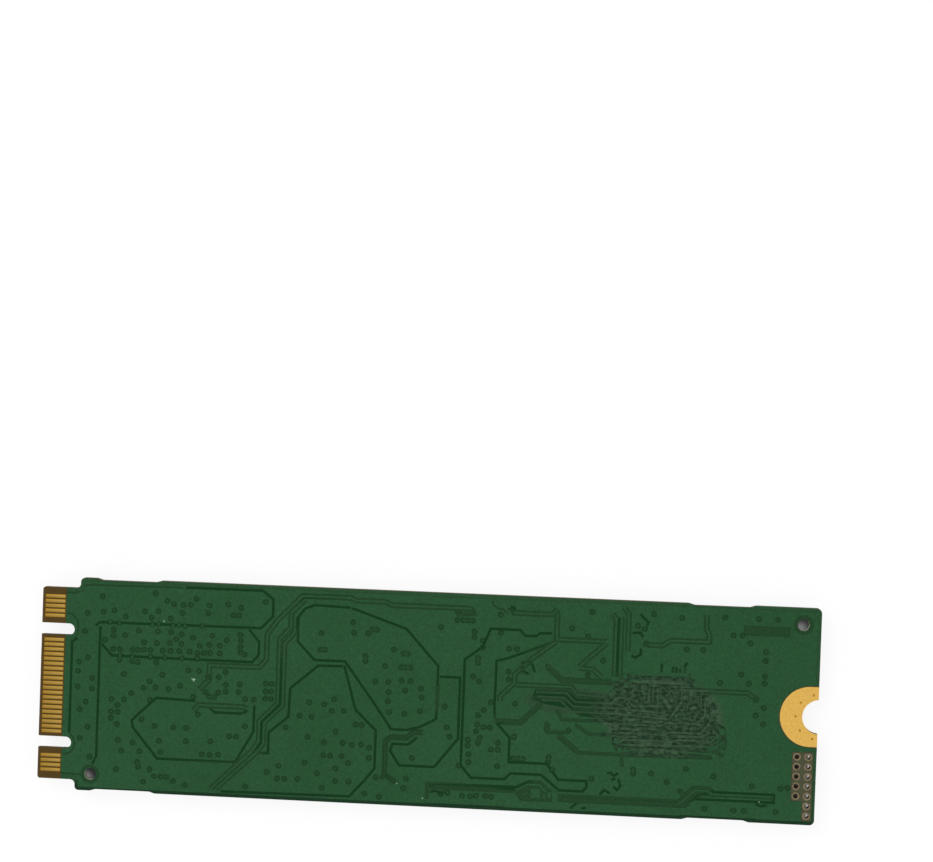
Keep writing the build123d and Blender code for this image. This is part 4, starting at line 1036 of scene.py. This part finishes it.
def plated_hole(bm, x, y, low, high, skin):
    """A ringed tube: its section from hole to ring, spun round the hole's axis."""
    wall = HOLE_MM + WALL_MM
    lip = LIP_MM * MM
    section = [
        (HOLE_MM + LIP_MM, high), (RING_MM - LIP_MM, high), (RING_MM, high - lip), (RING_MM, high - skin),
        (wall, high - skin), (wall, low + skin), (RING_MM, low + skin), (RING_MM, low + lip),
        (RING_MM - LIP_MM, low), (HOLE_MM + LIP_MM, low), (HOLE_MM, low + lip), (HOLE_MM, high - lip),
    ]
    turned(bm, section, x, y, HOLE_STEPS)


bm = bmesh.new()
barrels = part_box("header_barrels")
skin = barrels[1].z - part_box("board_core")[1].z
for place in middles("header_barrels"):
    plated_hole(bm, place.x / MM, place.y / MM, barrels[0].z, barrels[1].z, skin)
bmesh.ops.recalc_face_normals(bm, faces=bm.faces)
piece(bm, "plated_header_holes", hole_tin, "plating", "header_barrels")

# %% [markdown]
# ## The mask on the component side
# The photograph does not show this side. A via goes right through the card, so the same vias show here,
# except where a part stands on them. Bundles of traces join the chips, and broader gaps part the copper of
# the power stage.

# %% The mask on the component side
KEEP_OFF_MM = 0.5
TALL_MM = 0.1
BUNDLE_TRACES = 8
BUNDLE_FIRST_MM = 1.2
BUNDLE_PITCH_MM = 0.42
BUNDLE_JOG_MM = 0.3
BUNDLE_TURN = 0.6
TUCK_MM = 0.4
POWER_GAPS = [
    [(-35.4, 3.2), (-22.6, 3.2), (-21.4, 4.4), (-19.6, 4.4)],
    [(-35.4, -3.2), (-22.6, -3.2), (-21.4, -4.4), (-19.6, -4.4)],
    [(-35.4, 9.9), (-22.4, 9.9), (-21.4, 8.9), (-19.6, 8.9)],
    [(-32.8, -9.9), (-22.4, -9.9), (-21.4, -8.9), (-19.6, -8.9)],
]
front_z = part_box("solder_mask_front")[0].z
parts = [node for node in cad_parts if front_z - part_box(node)[0].z > TALL_MM * MM]
taken = [corners for node in parts for corners in solids(node)]


def is_open(x, y):
    """Whether no part stands on a place of the component side."""
    spot = Vector((x, y)) * MM
    near = KEEP_OFF_MM * MM
    return not any(
        low.x - near < spot.x < high.x + near and low.y - near < spot.y < high.y + near
        for low, high in taken
    )


rows = [BUNDLE_FIRST_MM + BUNDLE_PITCH_MM * row for row in range(BUNDLE_TRACES)]
bundles = []
for left, right in (("flash_1", "flash_2"), ("flash_2", "controller"), ("controller", "memory")):
    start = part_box(left + "_substrate")[1].x / MM - TUCK_MM
    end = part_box(right + "_substrate")[0].x / MM + TUCK_MM
    turn = start + BUNDLE_TURN * (end - start)
    for y in [-row for row in rows] + rows:
        jog = y + BUNDLE_JOG_MM
        bundles.append([(start, y), (turn, y), (turn + BUNDLE_JOG_MM, jog), (end, jog)])
outside = front_z - CLEAR_MM * MM
gap_roof = front_z + FINE_GAP_DEPTH_MM * MM
open_places = [place for place in via_places if is_open(*place)]
blades = ring_cutters("front_ring_cutter", open_places, front_z, -1)
blades.append(tool(ribbons(bundles, FINE_GAP_MM, outside, gap_roof), "bundle_cutter"))
blades.append(tool(ribbons(POWER_GAPS, BROAD_GAP_MM, outside, gap_roof), "power_gap_cutter"))
carved("solder_mask_front", "front_mask", front_green, blades, front_z, -1)
print(len(open_places), "vias in the open,", len(bundles), "traces in bundles")

# %% [markdown]
# ## Solder fillets
# When solder melts it climbs a little way up the end of a part and spreads over the pad round it. Each
# fillet is a block round one end whose outer face is scaled in, so that its sides slope like the real
# solder.

# %% Solder fillets
FILLET_SPREAD_MM = 0.14
FILLET_CLIMB_MM = 0.16
FILLET_BITE_MM = 0.01
FILLET_SHARE = 0.6
FILLET_HUG = 1.02

bm = bmesh.new()
for node in ("bulk_capacitor_caps", "small_capacitor_caps", "resistor_caps", "coil_terminals"):
    for low, high in solids(node):
        climb = min(FILLET_CLIMB_MM * MM, FILLET_SHARE * (front_z - low.z))
        end = high - low
        spread = 2 * FILLET_SPREAD_MM * MM
        size = Vector((end.x + spread, end.y + spread, climb))
        middle = (low + high) / 2
        middle.z = front_z - climb / 2 + FILLET_BITE_MM * MM
        block = bmesh.ops.create_cube(bm, size=1, matrix=Matrix.LocRotScale(middle, None, size))["verts"]
        tips = [vert for vert in block if vert.co.z < middle.z]
        hug = (FILLET_HUG * end.x / size.x, FILLET_HUG * end.y / size.y, 1)
        bmesh.ops.scale(bm, verts=tips, vec=hug, space=Matrix.Translation(-middle))
piece(bm, "solder_fillets", solder_tin, "solder")

# %% [markdown]
# ## Solder balls
# Each big chip stands on solder balls that melted and pulled themselves round. The CAD holds them as blocks
# of the right place and height. Here each one is a sphere, pressed a little flat, that sinks slightly into
# both sides.

# %% Solder balls
BIG_CHIPS = ("controller", "memory", "flash_1", "flash_2")
BALL_SPREAD_MM = 0.4
BALL_SINK = 1.16

for chip in BIG_CHIPS:
    node = chip + "_balls"
    low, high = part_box(node)
    spread = min(BALL_SPREAD_MM * MM, high.x - low.x)
    size = Vector((spread / 2, spread / 2, (high.z - low.z) / 2 * BALL_SINK))
    bm = bmesh.new()
    for place in middles(node):
        at = Matrix.LocRotScale(place, None, size)
        bmesh.ops.create_icosphere(bm, subdivisions=2, radius=1, matrix=at)
    balls = piece(bm, "round_" + node, solder_tin, "solder", node)
    for face in balls.data.polygons:
        face.use_smooth = True

# %% [markdown]
# ## Softer edges
# Moulded, fired and dipped parts have no knife edges. The CAD leaves their edges sharp, so each such node
# is copied, its flat triangles are joined to whole faces, and every sharp edge gets a narrow round. The
# width of the round is that of the real process: wide on pressed ferrite, narrow on sawn laminate.

# %% Softer edges
SHARP = math.radians(30)
CHIP_MOULDS = [chip + "_mould" for chip in BIG_CHIPS]
CHIP_SUBSTRATES = [chip + "_substrate" for chip in BIG_CHIPS]
SMALL_CHIPS = ["power_manager_body", "boot_flash_body", "regulator_body"]
SMALL_LEADS = ["power_manager_leads", "boot_flash_pads", "coil_terminals"]
DIPPED_CAPS = ["bulk_capacitor_caps", "small_capacitor_caps", "resistor_caps"]
CAPACITORS = ["bulk_capacitor_bodies", "small_capacitor_bodies"]
# nodes, finish, slot, width of the round in mm, segments of the round
ROUNDS = [
    (CHIP_MOULDS, mould_black, "mould", 0.05, 2),
    (CHIP_SUBSTRATES, substrate_green, "substrate", 0.02, 1),
    (SMALL_CHIPS, mould_black, "mould", 0.06, 2),
    (SMALL_LEADS, solder_tin, "solder", 0.03, 2),
    (["regulator_leads"], solder_tin, "solder", 0.04, 2),
    (DIPPED_CAPS, solder_tin, "solder", 0.05, 2),
    (CAPACITORS, capacitor_tan, "ceramic_tan", 0.04, 2),
    (["resistor_bodies"], resistor_black, "ceramic_black", 0.03, 2),
    (["coil_cores"], ferrite_grey, "ferrite", 0.12, 3),
    (["crystal_base"], crystal_ceramic, "ceramic_dark", 0.05, 2),
    (["crystal_lid"], lid_nickel, "nickel", 0.06, 3),
    (["mount_pad_back", "mount_pad_front"], pad_gold, "gold", 0.012, 2),
]


def softened(node, material, slot, round_mm, segments):
    """A copy of a CAD node whose sharp edges are rounded, standing for that node."""
    bm = merged(node)
    bmesh.ops.dissolve_limit(bm, angle_limit=FLAT, verts=bm.verts, edges=bm.edges)
    edges = [edge for edge in bm.edges if edge.is_manifold and edge.calc_face_angle() > SHARP]
    bmesh.ops.bevel(
        bm, geom=edges, offset=round_mm * MM, offset_type="OFFSET", affect="EDGES", segments=segments,
        profile=0.5, material=-1, clamp_overlap=True,
    )
    piece(bm, "rounded_" + node, material, slot, node)


for nodes, material, slot, round_mm, segments in ROUNDS:
    for node in nodes:
        softened(node, material, slot, round_mm, segments)

# %% [markdown]
# ## Filled stitching vias
# Small vias stitch the two mounting pads together. On the card they are plated shut, so that they only show
# as faint dimples in the gold. A dished plug closes each hole: its section is drawn once and spun round
# each via.

# %% Filled stitching vias
NOTCH_X_MM = 40.0
STITCH_REACH_MM = 2.27
STITCH_TURNS_DEG = (-77.0, -38.5, 0.0, 38.5, 77.0)
PLUG_MM = 0.15
SHOULDER_MM = 0.09
DISH_MM = 0.012
SHOULDER_DISHES = 1.6


def plug(bm, x, y, low, high):
    """A closed plug whose ends are dished below the pads."""
    dish = DISH_MM * MM
    shoulder = SHOULDER_DISHES * dish
    section = [
        (0, high - 2 * dish), (SHOULDER_MM, high - shoulder), (PLUG_MM, high - dish / 2),
        (PLUG_MM, low + dish / 2), (SHOULDER_MM, low + shoulder), (0, low + 2 * dish),
    ]
    turned(bm, section, x, y, VIA_STEPS, closed=False)


front_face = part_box("mount_pad_front")[0].z
back_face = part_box("mount_pad_back")[1].z
bm = bmesh.new()
for turn in STITCH_TURNS_DEG:
    away = Vector((-math.cos(math.radians(turn)), math.sin(math.radians(turn)))) * STITCH_REACH_MM
    plug(bm, NOTCH_X_MM + away.x, away.y, front_face, back_face)
bmesh.ops.remove_doubles(bm, verts=bm.verts, dist=MERGE)
bmesh.ops.recalc_face_normals(bm, faces=bm.faces)
piece(bm, "filled_stitching_vias", plug_gold, "gold")

# %% [markdown]
# ## Floor
# The card lies on a plain white floor: one large square at the height of the card's lowest point.

# %% Floor
FLOOR_SIZE = 4.0

bm = bmesh.new()
bmesh.ops.create_grid(bm, x_segments=1, y_segments=1, size=FLOOR_SIZE / 2)
bmesh.ops.translate(bm, verts=bm.verts, vec=(0, 0, cad_box[0].z))
floor_mesh = bpy.data.meshes.new("floor")
bm.to_mesh(floor_mesh)
bm.free()
floor = bpy.data.objects.new("floor", floor_mesh)
bpy.context.scene.collection.objects.link(floor)
print("floor:", FLOOR_SIZE, "m")

# %% [markdown]
# ## White floor
# The floor is matt white paper. Part of its white is its own for rays that come from the camera or a
# reflection, so that it is white right up to the card and the card's shadow stays faint. Under the card the
# floor is darkened with a soft edge, a painted shadow, and where light would fall through the two tooling
# holes it has two painted pools of light that glow a little.

# %% White floor
FLOOR_OWN = 0.86
SHADE_WHITE = 0.12
SHADED_MM = ((-36.5, -11.2), (39.8, 10.7))
SHADE_FADE_MM = 0.6
NOTCH_CLEAR_MM = 2.1
HOLE_LIGHT_MM = ((-35.33, -10.05), (38.12, 8.7))
HOLE_SPOT_MM = 1.0
HOLE_OWN = 0.17

floor_white = bpy.data.materials.new("white_floor")
floor_white.use_nodes = True
tree = floor_white.node_tree
tree.nodes.clear()
place = add(tree, "TexCoord").outputs["Object"]
split = add(tree, "SeparateXYZ", {"Vector": place})
notch = add(tree, "VectorMath", {0: place, 1: (NOTCH_X_MM * MM, 0, cad_box[0].z)}, operation="DISTANCE")
limits = [(notch.outputs["Value"], NOTCH_CLEAR_MM, 1)]
for inward, (x, y) in zip((1, -1), SHADED_MM):
    limits += [(split.outputs["X"], x, inward), (split.outputs["Y"], y, inward)]
# painted shadow: under the card the floor's own white and its colour fall away, with a soft edge
shaded = 1.0
for measure, limit, inward in limits:
    inside = add(tree, "MapRange", {
        "Value": measure, "From Min": limit * MM, "From Max": (limit + inward * SHADE_FADE_MM) * MM,
    }, interpolation_type="SMOOTHSTEP")
    shaded = add(tree, "Math", {0: shaded, 1: inside}, operation="MULTIPLY")
ray = add(tree, "LightPath")
seen = add(tree, "Math", {
    0: ray.outputs["Is Camera Ray"], 1: ray.outputs["Is Glossy Ray"],
}, operation="MAXIMUM")
seen = add(tree, "Math", {0: seen, 1: ray.outputs["Is Transmission Ray"]}, operation="MAXIMUM")
# painted light: two pale spots that glow a little where light would fall through the tooling holes
spots = [
    add(tree, "VectorMath", {
        0: place, 1: (x * MM, y * MM, cad_box[0].z),
    }, operation="DISTANCE").outputs["Value"]
    for x, y in HOLE_LIGHT_MM
]
through = add(tree, "Math", {0: spots[0], 1: spots[1]}, operation="MINIMUM")
through = add(tree, "MapRange", {
    "Value": through, "From Min": HOLE_SPOT_MM * MM, "From Max": 0.0,
}, interpolation_type="SMOOTHSTEP")
own = add(tree, "MapRange", {"Value": through, "To Min": 0.0, "To Max": HOLE_OWN})
own = add(tree, "MapRange", {"Value": shaded, "To Min": FLOOR_OWN, "To Max": own})
own = add(tree, "Math", {0: seen, 1: own}, operation="MULTIPLY")
glow = add(tree, "Emission", {"Strength": own})
white = add(tree, "MapRange", {"Value": shaded, "To Min": 1 - FLOOR_OWN, "To Max": SHADE_WHITE})
matt = add(tree, "BsdfDiffuse", {"Color": white})
total = add(tree, "AddShader", {0: glow, 1: matt})
add(tree, "OutputMaterial", {"Surface": total})
floor_mesh.materials.append(floor_white)
print("finish:", floor_white.name)

# %% [markdown]
# ## Sky and lamp
# An even white sky lights the card from all sides, as a light tent does, and one soft lamp from the upper
# left brings out the relief. The camera sees the sky as plain white.

# %% Sky and lamp
SKY = 0.9
LAMP_POWER = 1.4
LAMP_SIZE = 0.35
LAMP_AT = (-0.35, 0.4, 0.6)

world = bpy.data.worlds.new("white_sky")
bpy.context.scene.world = world
world.use_nodes = True
tree = world.node_tree
ray = add(tree, "LightPath")
power = add(tree, "MapRange", {"Value": ray.outputs["Is Camera Ray"], "To Min": SKY, "To Max": 1.0})
sky = tree.nodes["Background"]
link(tree, sky, {"Color": colour("FFFFFF"), "Strength": power})
lamp = bpy.data.objects.new("soft_lamp", bpy.data.lights.new("soft_lamp", "AREA"))
lamp.data.energy = LAMP_POWER
lamp.data.size = LAMP_SIZE
lamp.location = LAMP_AT
lamp.rotation_euler = (-Vector(LAMP_AT)).to_track_quat("-Z", "Y").to_euler()
bpy.context.scene.collection.objects.link(lamp)
bpy.context.scene.view_settings.view_transform = "Standard"
print("sky", SKY, "and one lamp of", LAMP_POWER, "W")
